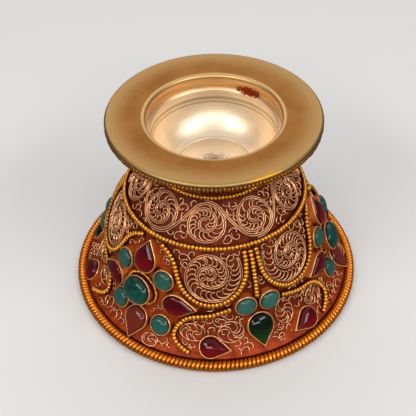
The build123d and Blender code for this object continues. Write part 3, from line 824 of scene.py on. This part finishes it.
class Seat:
    """Place of a stone: across runs round the foot, upward up its slope, leaned up and turned in itself."""

    def __init__(self, azimuth, along, turn=0.0, lean=0.0):
        self.azimuth = azimuth
        self.along = along
        self.turn = radians(turn)
        angle = radians(azimuth)
        square = foot_out(azimuth, along)
        level = np.array([cos(angle), sin(angle), 0.0])
        self.uphill = np.cross(square, level)
        self.out = square * cos(radians(lean)) + self.uphill * sin(radians(lean))
        self.across = level * cos(self.turn) + np.cross(self.out, level) * sin(self.turn)
        self.upward = np.cross(self.out, self.across)
        self.spot = on_foot(azimuth, along)

    def raised(self, flat, height):
        """Points over the seat's plane."""
        flat = np.asarray(flat)
        height = np.broadcast_to(height, len(flat))
        sideways = np.outer(flat[:, 0], self.across) + np.outer(flat[:, 1], self.upward)
        return self.spot + sideways + np.outer(height, self.out)

    def chart(self, flat):
        """The same spots let down on the foot itself, as azimuths and ways down."""
        across = flat[:, 0] * cos(self.turn) - flat[:, 1] * sin(self.turn)
        upward = flat[:, 0] * sin(self.turn) + flat[:, 1] * cos(self.turn)
        return self.azimuth + np.degrees(across / foot_reach(self.along)), self.along - upward

    def cover(self, outline):
        """Notes the ground inside an outline as covered."""
        for share in COVER_SHARES:
            covered.append((*self.chart(outline * share), COVER_ROOM))


def flower_seats(azimuth, places):
    """Seats of a flower's stones, from their places across and below its middle and their tips' turns."""
    reach = foot_reach(FLOWER_ALONG)
    seats = []
    for across, below, *turn in places:
        seats.append(Seat(azimuth + degrees(across / reach), FLOWER_ALONG + below, *turn))
    return seats


def apron_seats(azimuth, side, along, turn=0.0):
    """Two seats at a side in degrees from an apron's middle, mirrored, as are their tips' turns."""
    return [Seat(azimuth + hand * side, along, hand * turn) for hand in (-1, 1)]


def put_bezel(store, seat, outline_at, size, ragged):
    """Strip round a stone: rings of the stone's outline, wider below, folded in over its edge."""
    rings = []
    rise = []
    wave = np.cumsum(chance.standard_normal(OUTLINE_STEPS))
    wave = ragged * (wave - np.linspace(wave[0], wave[-1], OUTLINE_STEPS)) / max(1e-6, np.abs(wave).max())
    for margin, height, level in BEZEL_PROFILE:
        flat = outline_at(size, SETTING_GAP + margin)
        if height is None:
            azimuth, along = seat.chart(flat)
            rings.append(on_foot(azimuth, along, -FOOT_SINK))
            seat.cover(flat)
        else:
            rings.append(seat.raised(flat, height + wave * level))
        rise.append(np.full(len(flat), level))
    put(store, np.vstack(rings), ring_faces(len(rings), OUTLINE_STEPS), rise=np.concatenate(rise))


def shaded_in_corners(tree, tone):
    """Painted shade, by ambient occlusion, in the corners between the settings and the ground."""
    return placed(tree, corner_shade_nodes, {"Unshaded": tone, "Reach": 1.6})["Colour"]


bezel_gold = gilding(
    "bezel_gilding",
    low=colour(0.52, 0.115, 0.010),
    crest=colour(0.95, 0.43, 0.15),
    crest_ramp=(0.68, 0.98),
    patch=(2.6, 0.2, 0.38),
    stain=(colour(0.44, 0.12, 0.016), 0.35),
    smooth=0.26,
    bump=(0.25, 0.05),
    over=shaded_in_corners,
    Metallic=0.5,
)

petal_seats = [flower_seats(middle, FLOWER_PETALS) for middle in flower_middles]
flower_round_seats = [flower_seats(middle, FLOWER_ROUNDS) for middle in flower_middles]
apron_round_seats = [apron_seats(middle, APRON_ROUND_SIDE, APRON_ROUND_ALONG) for middle in apron_middles]
apron_red_seats = [
    apron_seats(middle, APRON_RED_SIDE, APRON_RED_ALONG, APRON_RED_TURN) for middle in apron_middles
]
apron_dark_seats = [[Seat(middle, APRON_DROP_ALONG, 180.0)] for middle in apron_middles]
SETTINGS = {
    "flower": [
        (petal_seats, drop_outline, PETAL_STONE, DROP_WAVE),
        (flower_round_seats, round_outline, ROUND_STONE, ROUND_WAVE),
    ],
    "apron": [
        (apron_round_seats, round_outline, ROUND_STONE, ROUND_WAVE),
        (apron_red_seats, drop_outline, RED_STONE, DROP_WAVE),
        (apron_dark_seats, drop_outline, DARK_STONE, DROP_WAVE),
    ],
}
for bay in range(BAYS):
    for home, cuts in SETTINGS.items():
        store = new_store()
        for seats, outline_at, size, ragged in cuts:
            for seat in seats[bay]:
                put_bezel(store, seat, outline_at, size, ragged)
        bezels = f"{home}_bezels_{bay + 1}"
        make_stored(f"{home}_settings_{bay + 1}", store, bezel_gold, [bezels])

# Flower middles: a tall gilt collar that leans up and flares to a rubbed-over edge holds the large oval.
# The collar keeps the orange of the ground, and a ring of the smallest bead wire lies round its foot.
OVAL_STONE = (4.6, 3.8)
OVAL_TILT = -7.0
COLLAR_LEAN = 20.0
COLLAR_HEIGHT = 3.0
COLLAR_DEPTH = 2.4
COLLAR_DRAW_IN = 0.8
COLLAR_WALL_WIDTH = 0.45
COLLAR_COVER = 1.0
COLLAR_BEAD = 0.5
COLLAR_RING = (OVAL_STONE[0] + 0.8, OVAL_STONE[1] + 1.2)
COLLAR_RING_RISE = 0.6
COLLAR_WALL = [(0.0, 0.0), (0.3, 0.15), (0.6, 0.3), (0.85, 0.5), (1.0, 0.8)]
COLLAR_LIP = [(0.36, 0.10, 1.0), (0.16, 0.12, 1.0), (0.02, 0.0, 0.9), (0.04, -0.85, 0.2)]
COLLAR_SEARCH = 60


def over_foot(points):
    """Heights of points over the foot's outside."""
    flat = np.stack([np.hypot(points[:, 0], points[:, 1]), points[:, 2]], axis=-1)
    nearest = np.argmin(np.linalg.norm(flat[:, None, :] - meridian[None, :, :], axis=2), axis=1)
    square = np.stack([-meridian_run[nearest, 1], meridian_run[nearest, 0]], axis=-1)
    return np.sum((flat - meridian[nearest]) * square, axis=1)


def collar_foot(mouth, foot):
    """Spots where the collar's wall, from its mouth to its foot inside the sheet, meets the sheet."""
    steps = np.linspace(0.0, 1.0, COLLAR_SEARCH)
    heights = np.stack([over_foot(mouth + (foot - mouth) * step) for step in steps])
    share = np.array([np.interp(FOOT_SINK, -line, steps) for line in heights.T])
    return mouth + (foot - mouth) * share[:, None]


oval_seats = [[Seat(middle, FLOWER_ALONG, OVAL_TILT, COLLAR_LEAN)] for middle in flower_middles]
for bay, (seat,) in enumerate(oval_seats, start=1):
    wide = oval_outline(OVAL_STONE, COLLAR_WALL_WIDTH)
    mouth = seat.raised(wide, COLLAR_HEIGHT)
    foot = collar_foot(mouth, seat.raised(wide * COLLAR_DRAW_IN, -COLLAR_DEPTH))
    rings = [foot + (mouth - foot) * share for share, level in COLLAR_WALL]
    levels = [level for share, level in COLLAR_WALL]
    for margin, height, level in COLLAR_LIP:
        rings.append(seat.raised(oval_outline(OVAL_STONE, margin), COLLAR_HEIGHT + height))
        levels.append(level)
    store = new_store()
    collar_faces = ring_faces(len(rings), OUTLINE_STEPS)
    put(store, np.vstack(rings), collar_faces, rise=np.repeat(levels, OUTLINE_STEPS))
    make_stored(f"flower_collar_{bay}", store, bezel_gold, [f"flower_oval_collar_{bay}"])
    seat.cover(oval_outline(OVAL_STONE, COLLAR_COVER))
    azimuth, along = seat.chart(oval_outline(COLLAR_RING, 0.0))
    store = new_store()
    put_bead_path(store, np.stack([azimuth, along - COLLAR_RING_RISE], axis=-1), COLLAR_BEAD, closed=True)
    make_stored(f"flower_collar_beads_{bay}", store, bead_gold, [f"flower_bead_ring_{bay}"])

# Shoulder scrolls: a running vine of flattened twisted wire on edge, wound to ten roundels on the dome.
# A double stem swings over one roundel and under the next, and fern hooks fill it; all is soldered down.
# Rows of hooks are given by spacing, length, and the shares of the spiral's way where they start and end.
WIRE_WIDTH = 0.31
WIRE_RISE = 0.5
WIRE_SECTION = [(-0.5, -0.1), (-0.5, 0.55), (-0.28, 0.92), (0.0, 1.0), (0.28, 0.92), (0.5, 0.55), (0.5, -0.1)]
WIRE_TWIST = 0.12
TWIST_STEP = 2.4
WIRE_ROOM = 0.33
STEM_SPREAD = 0.27
HOOK_ROOT = 0.1
HOOK_SWING = 6.0
HOOK_UNEVEN = 0.08
HOOK_BENDS = (1.6, 8.5)
CURL_STEP = 0.14
CURL_ROOT_POINTS = 6
CURL_LEAST_POINTS = 9
SPRAY_BENDS = (1.4, 9.5)
FORK_ANGLE = 30.0
FORK_SHARE = 0.7
FORK_BENDS = (3.0, 13.0)
FORKED_FROM = 4.5
WINDING_BLUR = 3
ROUNDELS = 10
ROUNDEL_STEP = 360 / ROUNDELS
BAND_AZIMUTH = -7.6
BAND_ALONG = 7.9
LEAD_RADIUS = 5.9
LEAD_START = 98.0
BRIDGE_POINTS = 12
ROUNDEL_RADIUS = 5.3
ROUNDEL_SWEEPS = [0.0, 250.0, 400.0, 520.0, 800.0]
ROUNDEL_RADII = [ROUNDEL_RADIUS, ROUNDEL_RADIUS, 4.0, 2.7, 0.9]
ROUNDEL_HOOKS = [(1.9, 4.4, 0.03, 0.52), (1.5, 2.6, 0.52, 0.94)]
BARE_ROUNDEL = ROUNDELS - 1
BARE_HOOKS = 5
STRIPS = 2
SHOULDER_CURLS = (6.5, 5.5, 4.5, 3.8, 3.0, 2.4)
SHOULDER_TRIES = 2500
SHOULDER_SPAN = (NECK_ALONG + 0.5, shoulder_along - 0.8)
EDGE_ROOM = 1.1
ROOM_ROWS = 420
ROOM_COLUMNS = 1800
ROOM_STEP = 0.12
room = np.ones((ROOM_ROWS, ROOM_COLUMNS), bool)


def room_cells(azimuth, along):
    """Cells of the ground's map under chart spots."""
    rows = np.clip(np.asarray(along) / way_down[-1] * ROOM_ROWS, 0, ROOM_ROWS - 1).astype(int)
    columns = np.floor(np.asarray(azimuth) / 360 * ROOM_COLUMNS).astype(int) % ROOM_COLUMNS
    return rows, columns


def take_room(azimuth, along, clear):
    """Marks the ground within a clearance of chart spots as taken."""
    steps = np.arange(-clear, clear + 0.01, ROOM_STEP)
    for across in steps:
        for below in steps:
            if across**2 + below**2 <= clear**2:
                turn = np.degrees(across / foot_reach(along))
                room[room_cells(azimuth + turn, along + below)] = False


def laid(path, azimuth, along):
    """Flat path in mm across and up from a spot on the foot, as azimuths and ways down."""
    return azimuth + np.degrees(path[:, 0] / foot_reach(along)), along - path[:, 1]


def put_wire(store, path, azimuth, along):
    """Wire on edge along a flat path in mm across and up from a spot on the foot."""
    spots = laid(path, azimuth, along)
    take_room(*spots, WIRE_ROOM)
    base = on_foot(*spots)
    out = foot_out(*spots)
    side = unit(np.cross(unit(np.gradient(base, axis=0)), out))
    rows = [base + side * WIRE_WIDTH * across + out * WIRE_RISE * up for across, up in WIRE_SECTION]
    size = len(WIRE_SECTION)
    count = len(base)
    twist = 1 - WIRE_TWIST * (1 + np.sin(TWIST_STEP * np.arange(count)))
    rise = np.outer(twist, [up for across, up in WIRE_SECTION]).reshape(-1)
    faces = ring_faces(count, size)
    faces += [tuple(range(size)), tuple(range((count - 1) * size, count * size))]
    put(store, np.stack(rows, axis=1).reshape(-1, 3), faces, rise=rise)


def put_curl(store, path, azimuth, along):
    """Wire that ends where it would run into something past its root, if enough of it is left."""
    free = room[room_cells(*laid(path, azimuth, along))]
    blocked = np.flatnonzero(~free[CURL_ROOT_POINTS:])
    end = len(path) if len(blocked) == 0 else CURL_ROOT_POINTS + blocked[0]
    if end >= CURL_LEAST_POINTS:
        put_wire(store, path[:end], azimuth, along)


def beside(path, offset):
    """The same path moved to its left."""
    run = unit(np.gradient(path, axis=0))
    return path + np.stack([-run[:, 1], run[:, 0]], axis=-1) * offset


def winding(start, hand, sweeps, radii, squeeze=(1.0, 1.0), step=7.0):
    """Spiral from a start angle, with its radius given at some sweeps in degrees."""
    count = max(8, round((sweeps[-1] - sweeps[0]) / step))
    sweep = np.linspace(sweeps[0], sweeps[-1], count)
    reach = np.pad(np.interp(sweep, sweeps, radii), WINDING_BLUR, mode="edge")
    blur = 2 * WINDING_BLUR + 1
    soft = np.convolve(reach, np.ones(blur) / blur, mode="valid")
    angle = np.radians(start + hand * sweep)
    return np.stack([squeeze[0] * soft * np.cos(angle), squeeze[1] * soft * np.sin(angle)], axis=-1)


def tendril(start, heading, hand, length, bend_from, bend_to):
    """Hook that leaves its start along a heading in degrees and curls up ever tighter."""
    count = max(10, round(length / CURL_STEP))
    bends = bend_from * (bend_to / bend_from) ** np.linspace(0, 1, count)
    step = length / (count - 1)
    turn = radians(heading) + hand * np.concatenate([[0.0], np.cumsum(bends[:-1]) * step])
    moves = np.stack([np.cos(turn), np.sin(turn)], axis=-1) * step
    return np.asarray(start) + np.concatenate([np.zeros((1, 2)), np.cumsum(moves[:-1], axis=0)])


def heading_of(way):
    """Direction of a flat way, in degrees."""
    return degrees(np.arctan2(way[1], way[0]))


def hooks_inside(path, hand, spacing, length, first, last, lean=18.0):
    """Tendrils that spring from a winding towards its inside, over a share of its way."""
    gone = gone_along(path)
    run = np.gradient(path, axis=0)
    bend_from, bend_to = HOOK_BENDS
    hooks = []
    for way in np.arange(first * gone[-1], last * gone[-1], spacing):
        spot = at_ways(way, gone, path)
        leaned = lean + HOOK_SWING * chance.standard_normal()
        heading = heading_of(at_ways(way, gone, run)) + hand * leaned
        grown = length * (1 + HOOK_UNEVEN * chance.standard_normal())
        hooks.append(tendril(spot, heading, hand, grown, bend_from / length, bend_to / length))
    return hooks


def spray(heading, hand, length):
    """Tendril with a second one that forks off the other way."""
    bend_from, bend_to = SPRAY_BENDS
    main = tendril((0.0, 0.0), heading, hand, length, bend_from / length, bend_to / length)
    fork = len(main) // 5
    away = heading_of(main[fork + 1] - main[fork]) - hand * FORK_ANGLE
    bend_from, bend_to = FORK_BENDS
    second = tendril(main[fork], away, -hand, FORK_SHARE * length, bend_from / length, bend_to / length)
    return [main, second]


def grow_curls(lengths, tries, lowest, highest):
    """Sprays at random on ground that is still free, the long ones first, with their places on the chart."""
    grown = []
    for length in lengths:
        for attempt in range(tries):
            azimuth = chance.uniform(0.0, 360.0)
            along = chance.uniform(lowest, highest)
            if not room[room_cells(azimuth, along)]:
                continue
            curls = spray(chance.uniform(0.0, 360.0), chance.choice((-1, 1)), length)
            if length < FORKED_FROM:
                curls = curls[:1]
            spots = [laid(curl, azimuth, along) for curl in curls]
            if all(room[room_cells(*spot)].all() for spot in spots):
                for spot in spots:
                    take_room(*spot, WIRE_ROOM)
                grown.append((azimuth, along, curls))
    return grown


def roundel_paths():
    """Stem from under the roundel before, up between the two and round, and the spiral that ends it."""
    pitch = np.radians(ROUNDEL_STEP) * foot_reach(BAND_ALONG)
    cross = degrees(acos((LEAD_RADIUS + ROUNDEL_RADIUS) / pitch))
    lead = winding(-LEAD_START, 1, [0.0, LEAD_START - cross], [LEAD_RADIUS, LEAD_RADIUS]) - (pitch, 0.0)
    spiral = winding(180.0 - cross, -1, ROUNDEL_SWEEPS, ROUNDEL_RADII)
    share = np.linspace(0, 1, BRIDGE_POINTS)[1:-1, None]
    bridge = lead[-1] * (1 - share) + spiral[0] * share
    return np.vstack([lead, bridge, spiral]), spiral


def put_scroll(store, stem, spiral, flip, hook_rows, azimuth, along, bare=0):
    """Double stem with hooks inside its spiral, mirrored by flip; a bare one lacks its first hooks."""
    for offset in (-STEM_SPREAD, STEM_SPREAD):
        put_wire(store, beside(stem, offset) * flip, azimuth, along)
    inner = beside(spiral, -STEM_SPREAD - HOOK_ROOT)
    hooks = [hook for row in hook_rows for hook in hooks_inside(inner, -1, *row)]
    for hook in hooks[bare:]:
        put_curl(store, hook * flip, azimuth, along)


# The wire's crests carry a painted highlight and its sides painted shade, together with the patina, through
# the crest group.
filigree_gold = gilding(
    "filigree_gilding",
    low=groove_brown,
    crest=colour(1.0, 0.50, 0.24),
    crest_ramp=(0.34, 0.74),
    patch=(5.0, 0.16, 0.38),
    stain=(colour(0.72, 0.22, 0.045), 0.3),
    smooth=0.28,
    bump=(0.2, 0.04),
    Metallic=0.6,
    Specular_IOR_Level=0.4,
)

for azimuth, along, clear in covered:
    take_room(azimuth, along, clear)
all_round = np.arange(0.0, 360.0, 360 / ROOM_COLUMNS)
for edge_along in (NECK_ALONG, shoulder_along, way_down[-1]):
    take_room(all_round, np.full(len(all_round), edge_along), EDGE_ROOM)

roundel_stem, roundel_spiral = roundel_paths()
strips = [new_store() for strip in range(STRIPS)]
for number in range(ROUNDELS):
    store = strips[number * STRIPS // ROUNDELS]
    flip = (1, -1 if number % 2 else 1)
    azimuth = BAND_AZIMUTH + number * ROUNDEL_STEP
    bare = BARE_HOOKS if number == BARE_ROUNDEL else 0
    put_scroll(store, roundel_stem, roundel_spiral, flip, ROUNDEL_HOOKS, azimuth, BAND_ALONG, bare)
for azimuth, along, curls in grow_curls(SHOULDER_CURLS, SHOULDER_TRIES, *SHOULDER_SPAN):
    place = (azimuth - BAND_AZIMUTH + ROUNDEL_STEP / 2) % 360
    for curl in curls:
        put_wire(strips[int(place * STRIPS / 360)], curl, azimuth, along)
for strip, store in enumerate(strips, start=1):
    band = f"shoulder_filigree_{strip}"
    make_stored(f"shoulder_scrolls_{strip}", store, filigree_gold, [band])

# Window scrolls: one large spiral to each frame, of the same wire, that starts beside the bar.
# It sweeps under and round to a rosette, with hooks on its inner side and loose curls in the corners.
WINDOW_SIDE = 24.0
WINDOW_ALONG = shoulder_along + 7.9
WINDOW_START = 30.0
WINDOW_SWEEPS = [0.0, 30.0, 105.0, 200.0, 300.0, 390.0, 480.0, 570.0, 700.0, 900.0]
WINDOW_RADII = [9.9, 9.2, 8.5, 6.5, 5.8, 5.3, 3.6, 2.9, 2.1, 0.8]
WINDOW_HOOKS = [(2.0, 4.8, 0.02, 0.42), (1.7, 4.0, 0.42, 0.68), (1.5, 2.5, 0.68, 0.95)]
rosette = winding(WINDOW_START, -1, WINDOW_SWEEPS, WINDOW_RADII)
window_stores = [new_store() for bay in range(BAYS)]
for middle, store in zip(apron_middles, window_stores):
    for side in (-1, 1):
        azimuth = middle + side * WINDOW_SIDE
        put_scroll(store, rosette, rosette, (-side, 1), WINDOW_HOOKS, azimuth, WINDOW_ALONG)

# Apron scrolls: leaf-shaped loops and loose tendrils on the flare, from the same wire.
# They fill the ground round the apron's stones, under the arms and between the flower's stones.
# Each place is in degrees from the apron's middle and mm below the waist.
LEAVES = [
    ((-13.8, 7.2), (3.9, 3.3), 120.0, -1),
    ((13.5, 5.4), (3.0, 4.1), 60.0, 1),
    ((-30.5, 7.4), (4.2, 2.7), 20.0, -1),
    ((31.8, 7.0), (3.6, 2.8), 160.0, 1),
    ((-49.3, 13.2), (2.7, 1.9), 0.0, 1),
]
LEAF_SWEEPS = [0.0, 300.0, 390.0]
LEAF_SHARES = [1.0, 0.97, 0.72]
LEAF_STEP = 9.0
LEAF_HOOK_SPACING = 2.3
LEAF_HOOK_GROWTH = 1.3
LEAF_HOOK_LEAST = 1.4
LEAF_HOOK_WAY = (0.02, 0.95)
LEAF_HOOK_LEAN = 30.0
APRON_TENDRILS = [
    ((-76.0, 13.4), 55.0, -1, 8.5),
    ((-46.0, 12.4), -15.0, -1, 6.5),
    ((-10.4, 14.4), 85.0, -1, 5.0),
    ((-7.0, 11.0), 30.0, -1, 5.5),
    ((7.5, 13.8), 100.0, 1, 5.5),
    ((22.4, 3.8), -25.0, 1, 5.0),
    ((-54.5, -13.2), -60.0, 1, 5.0),
    ((-48.0, -13.8), -80.0, -1, 4.5),
    ((-24.5, 0.2), 10.0, -1, 4.5),
]
APRON_CURLS = (8.0, 6.5, 5.5, 4.5, 3.8, 3.0, 2.4, 1.9)
APRON_TRIES = 7000
APRON_SPAN = (shoulder_along + 1.2, way_down[-1] - 0.8)
BAR_ROOM = 4.0
frame_path = smooth_path(WINDOW_PATH, PATH_POINTS // 2)


def put_leaf(store, azimuth, along, size, start, hand):
    """Loop that winds in on itself, with hooks on its inner side."""
    loop = winding(start, hand, LEAF_SWEEPS, LEAF_SHARES, size, LEAF_STEP)
    put_wire(store, loop, azimuth, along)
    length = LEAF_HOOK_GROWTH * min(size) + LEAF_HOOK_LEAST
    for hook in hooks_inside(loop, hand, LEAF_HOOK_SPACING, length, *LEAF_HOOK_WAY, LEAF_HOOK_LEAN):
        put_curl(store, hook, azimuth, along)


def in_window(azimuth, along):
    """Whether a spot on the chart lies inside one of the frames, or over a frame's open top."""
    away = abs((azimuth - APRON_AZIMUTH + BAY_STEP / 2) % BAY_STEP - BAY_STEP / 2)
    below = along - shoulder_along
    after = np.roll(frame_path, -1, axis=0)
    crossed = (frame_path[:, 1] > below) != (after[:, 1] > below)
    rise = after[:, 1] - frame_path[:, 1] + 1e-9
    reached = frame_path[:, 0] + (below - frame_path[:, 1]) * (after[:, 0] - frame_path[:, 0]) / rise
    over_top = below < WINDOW_PATH[-1][1] and BAR_ROOM < away < WINDOW_PATH[-1][0]
    return over_top or np.count_nonzero(crossed & (away < reached)) % 2 == 1


apron_stores = [new_store() for bay in range(BAYS)]
for middle, store in zip(apron_middles, apron_stores):
    for (turn, below), size, start, hand in LEAVES:
        put_leaf(store, middle + turn, waist_along + below, size, start, hand)
    for (turn, below), heading, hand, length in APRON_TENDRILS:
        for curl in spray(heading, hand, length):
            put_curl(store, curl, middle + turn, waist_along + below)
for azimuth, along, curls in grow_curls(APRON_CURLS, APRON_TRIES, *APRON_SPAN):
    bay = int((azimuth - APRON_AZIMUTH + BAY_STEP / 2) % 360 / BAY_STEP)
    store = (window_stores if in_window(azimuth, along) else apron_stores)[bay]
    for curl in curls:
        put_wire(store, curl, azimuth, along)
for bay in range(BAYS):
    for home, stores in (("window", window_stores), ("apron", apron_stores)):
        scrolls = f"{home}_scrolls_{bay + 1}"
        make_stored(scrolls, stores[bay], filigree_gold, [f"{home}_filigree_{bay + 1}"])

# Stones: polished cabochons, domed over a straight girdle. Greens are cloudy turquoise-coloured stone,
# the reds are garnet with a browner one in each flower, and the apron's dark drop is a blackish bottle green.
STONE_LIFT = 0.6
GIRDLE = 0.9
CROWN = 1.55
OVAL_LIFT = COLLAR_HEIGHT - BEZEL_HEIGHT + STONE_LIFT
OVAL_CROWN = 2.0
DOME_RINGS = 14
DOME_DRAW = 0.9
DOME_SWELL = 0.92
GIRDLE_LEVEL = 0.1


def put_stone(store, seat, outline, crown, base, tone):
    """Cabochon on a seat: a girdle, a dome over it, and a painted glow of light that grows towards its lower
    side.
    """
    belly = np.array([0.0, outline[:, 1].min() + outline[:, 0].max()])
    rings = [seat.raised(outline, base), seat.raised(outline, base + GIRDLE)]
    rise = [np.zeros(len(outline)), np.full(len(outline), GIRDLE_LEVEL)]
    for step in range(1, DOME_RINGS):
        share = step / DOME_RINGS
        draw = cos(share * pi / 2) ** DOME_DRAW
        height = base + GIRDLE + crown * sin(share * pi / 2) ** DOME_SWELL
        rings.append(seat.raised(belly + (outline - belly) * draw, height))
        rise.append(np.full(len(outline), GIRDLE_LEVEL + (1 - GIRDLE_LEVEL) * share))
    top = seat.raised(belly[None, :], base + GIRDLE + crown)
    points = np.vstack(rings + [top])
    downhill = (seat.spot - points) @ seat.uphill
    glow = (downhill - downhill.min()) / (downhill.max() - downhill.min())
    faces = ring_faces(len(rings), len(outline))
    last = (len(rings) - 1) * len(outline)
    for spot in range(len(outline)):
        faces.append((last + spot, last + (spot + 1) % len(outline), len(points) - 1))
    faces.append(tuple(range(len(outline))))
    put(store, points, faces, rise=np.concatenate(rise + [np.ones(1)]), glow=glow, tone=tone)


def stone_finish(name, dark, light, glow_tone, flecks, other=None):
    """Polished stone: clouded, with a painted glow of light on its lower side, pale flecks and a painted
    shadow at its edge by the setting.
    """
    material, tree, shader = new_finish(name, Specular_IOR_Level=0.25, Coat_Weight=0.08, Coat_Roughness=0.03)
    surface = hand_made(tree, 2.4, 0.3, 0.45)
    clouded = mixed(tree, surface["Patches"], dark, light)
    # Painted light: the lower side of each stone is painted brighter, as a glow.
    lit = mixed(tree, ramp(tree, mark(tree, "glow"), 0.3, 0.95, 0.0, 0.75), clouded, glow_tone)
    if other:
        lit = mixed(tree, mark(tree, "tone"), lit, other, 0.8)
    # Painted shadow: the stone's edge by the setting darkens to near black.
    edge = ramp(tree, mark(tree, "rise"), 0.38, 0.08, 0.0, 0.8)
    shadow_edged = mixed(tree, edge, lit, colour(0.004, 0.004, 0.004))
    fleck_share = ramp(tree, surface["Grain"], 0.64, 0.80, 0.0, 0.35)
    rough = ramp(tree, surface["Grain"], 0.4, 0.75, 0.06, 0.16)
    lay_on(tree, shader, mixed(tree, fleck_share, shadow_edged, flecks), rough, surface["Patches"], 0.08, 0.05)
    return material


green_stone = stone_finish(
    "cloudy_green_stone",
    colour(0.005, 0.036, 0.027),
    colour(0.011, 0.074, 0.057),
    colour(0.010, 0.100, 0.072),
    colour(0.16, 0.40, 0.33),
    colour(0.046, 0.140, 0.110),
)
red_stone = stone_finish(
    "garnet",
    colour(0.060, 0.0015, 0.003),
    colour(0.11, 0.002, 0.004),
    colour(0.20, 0.003, 0.004),
    colour(0.24, 0.03, 0.03),
    colour(0.15, 0.022, 0.010),
)
bottle_green = stone_finish(
    "bottle_green",
    colour(0.002, 0.006, 0.003),
    colour(0.004, 0.014, 0.005),
    colour(0.008, 0.060, 0.008),
    colour(0.01, 0.08, 0.02),
)

round_cut = round_outline(ROUND_STONE, 0.0)
reds = (red_stone, "red_stone")
greens = (green_stone, "green_stone")
darks = (bottle_green, "dark_green_stone")
STONES = [
    ("flower_drops", "flower_red_stones", reds, petal_seats, drop_outline(PETAL_STONE, 0.0), (0, 0, 1, 0)),
    ("flower_rounds", "flower_green_stones", greens, flower_round_seats, round_cut, (0.5, 0.5, 0.5, 0.5)),
    ("apron_rounds", "apron_green_stones", greens, apron_round_seats, round_cut, (0.8, 0.8)),
    ("apron_drops", "apron_red_stones", reds, apron_red_seats, drop_outline(RED_STONE, 0.0), (0, 0)),
    ("apron_dark_drop", "apron_dark_stone", darks, apron_dark_seats, drop_outline(DARK_STONE, 0.0), (0,)),
    ("flower_oval", "flower_oval_stone", greens, oval_seats, oval_outline(OVAL_STONE, 0.0), (0,)),
]
for bay in range(BAYS):
    for name, node, (material, slot), seats, cut, tones in STONES:
        crown, base = (OVAL_CROWN, OVAL_LIFT) if seats is oval_seats else (CROWN, STONE_LIFT)
        store = new_store()
        for seat, tone in zip(seats[bay], tones):
            put_stone(store, seat, cut, crown, base, tone)
        make_stored(f"{name}_{bay + 1}", store, material, [f"{node}_{bay + 1}"])

# Stage: a plain pale floor under the lamp and a dim, even room.
# Two wide soft lamps stand above and behind, and three narrow ones in front draw streaks on the stones.
FLOOR_SIZE = 3.0
ROOM_STRENGTH = 0.12
LAMP_AIM = Vector((0, 0, 0.03))
LAMPS = [
    ("back_panel", (0.0, 0.75, 0.60), (1.3, 0.7), 3.2),
    ("top_panel", (0.0, 0.10, 0.80), (1.3, 1.2), 2.6),
    ("left_lamp", (-0.46, -0.38, 0.58), (0.5, 0.16), 2.3),
    ("right_lamp", (0.46, -0.34, 0.58), (0.5, 0.16), 2.2),
    ("front_lamp", (0.0, -0.85, 0.62), (0.9, 0.10), 3.2),
]
edge = FLOOR_SIZE / 2
floor_corners = [(-edge, -edge, 0), (edge, -edge, 0), (edge, edge, 0), (-edge, edge, 0)]
floor_mesh = bpy.data.meshes.new("pale_floor")
floor_mesh.from_pydata(floor_corners, [], [(0, 1, 2, 3)])
floor_mesh.materials.append(new_finish("pale_floor", Roughness=0.7, Base_Color=colour(0.72, 0.71, 0.69))[0])
floor = bpy.data.objects.new("pale_floor", floor_mesh)
bpy.context.scene.collection.objects.link(floor)
floor.visible_glossy = False

world = bpy.data.worlds.new("soft_room")
bpy.context.scene.world = world
world.use_nodes = True
room_light = world.node_tree.nodes["Background"].inputs
room_light["Color"].default_value = colour(0.95, 0.96, 1.0)
room_light["Strength"].default_value = ROOM_STRENGTH

for name, place, size, power in LAMPS:
    light = bpy.data.lights.new(name, "AREA")
    light.energy = power
    light.shape = "RECTANGLE"
    light.size, light.size_y = size
    lamp = bpy.data.objects.new(name, light)
    lamp.location = place
    lamp.rotation_euler = (LAMP_AIM - Vector(place)).to_track_quat("-Z", "Y").to_euler()
    bpy.context.scene.collection.objects.link(lamp)

# Camera: at the photograph's place, in front and looking down, turned a little about its own axis.
# Its distance and focal length were fitted to the rims and bead rings in the photograph.
IMAGE_SIDE = 416
FOCAL_PIXELS = 820
ELEVATION = radians(43.08)
ROLL = radians(1.24)
DISTANCE = 0.2544
AIM = Vector((-0.00218, 0.0, 0.0242))
view = bpy.data.cameras.new("photo_camera")
view.sensor_width = 36.0
view.lens = view.sensor_width * FOCAL_PIXELS / IMAGE_SIDE
view.clip_start = 0.01
back = Vector((0, -cos(ELEVATION), sin(ELEVATION)))
level_right = Vector((1, 0, 0))
level_up = back.cross(level_right)
right = level_right * cos(ROLL) - level_up * sin(ROLL)
upright = level_right * sin(ROLL) + level_up * cos(ROLL)
camera = bpy.data.objects.new("photo_camera", view)
axes = Matrix((right, upright, back)).transposed().to_4x4()
camera.matrix_world = Matrix.Translation(AIM + back * DISTANCE) @ axes
bpy.context.scene.collection.objects.link(camera)
bpy.context.scene.camera = camera
bpy.context.scene.view_settings.view_transform = "Standard"
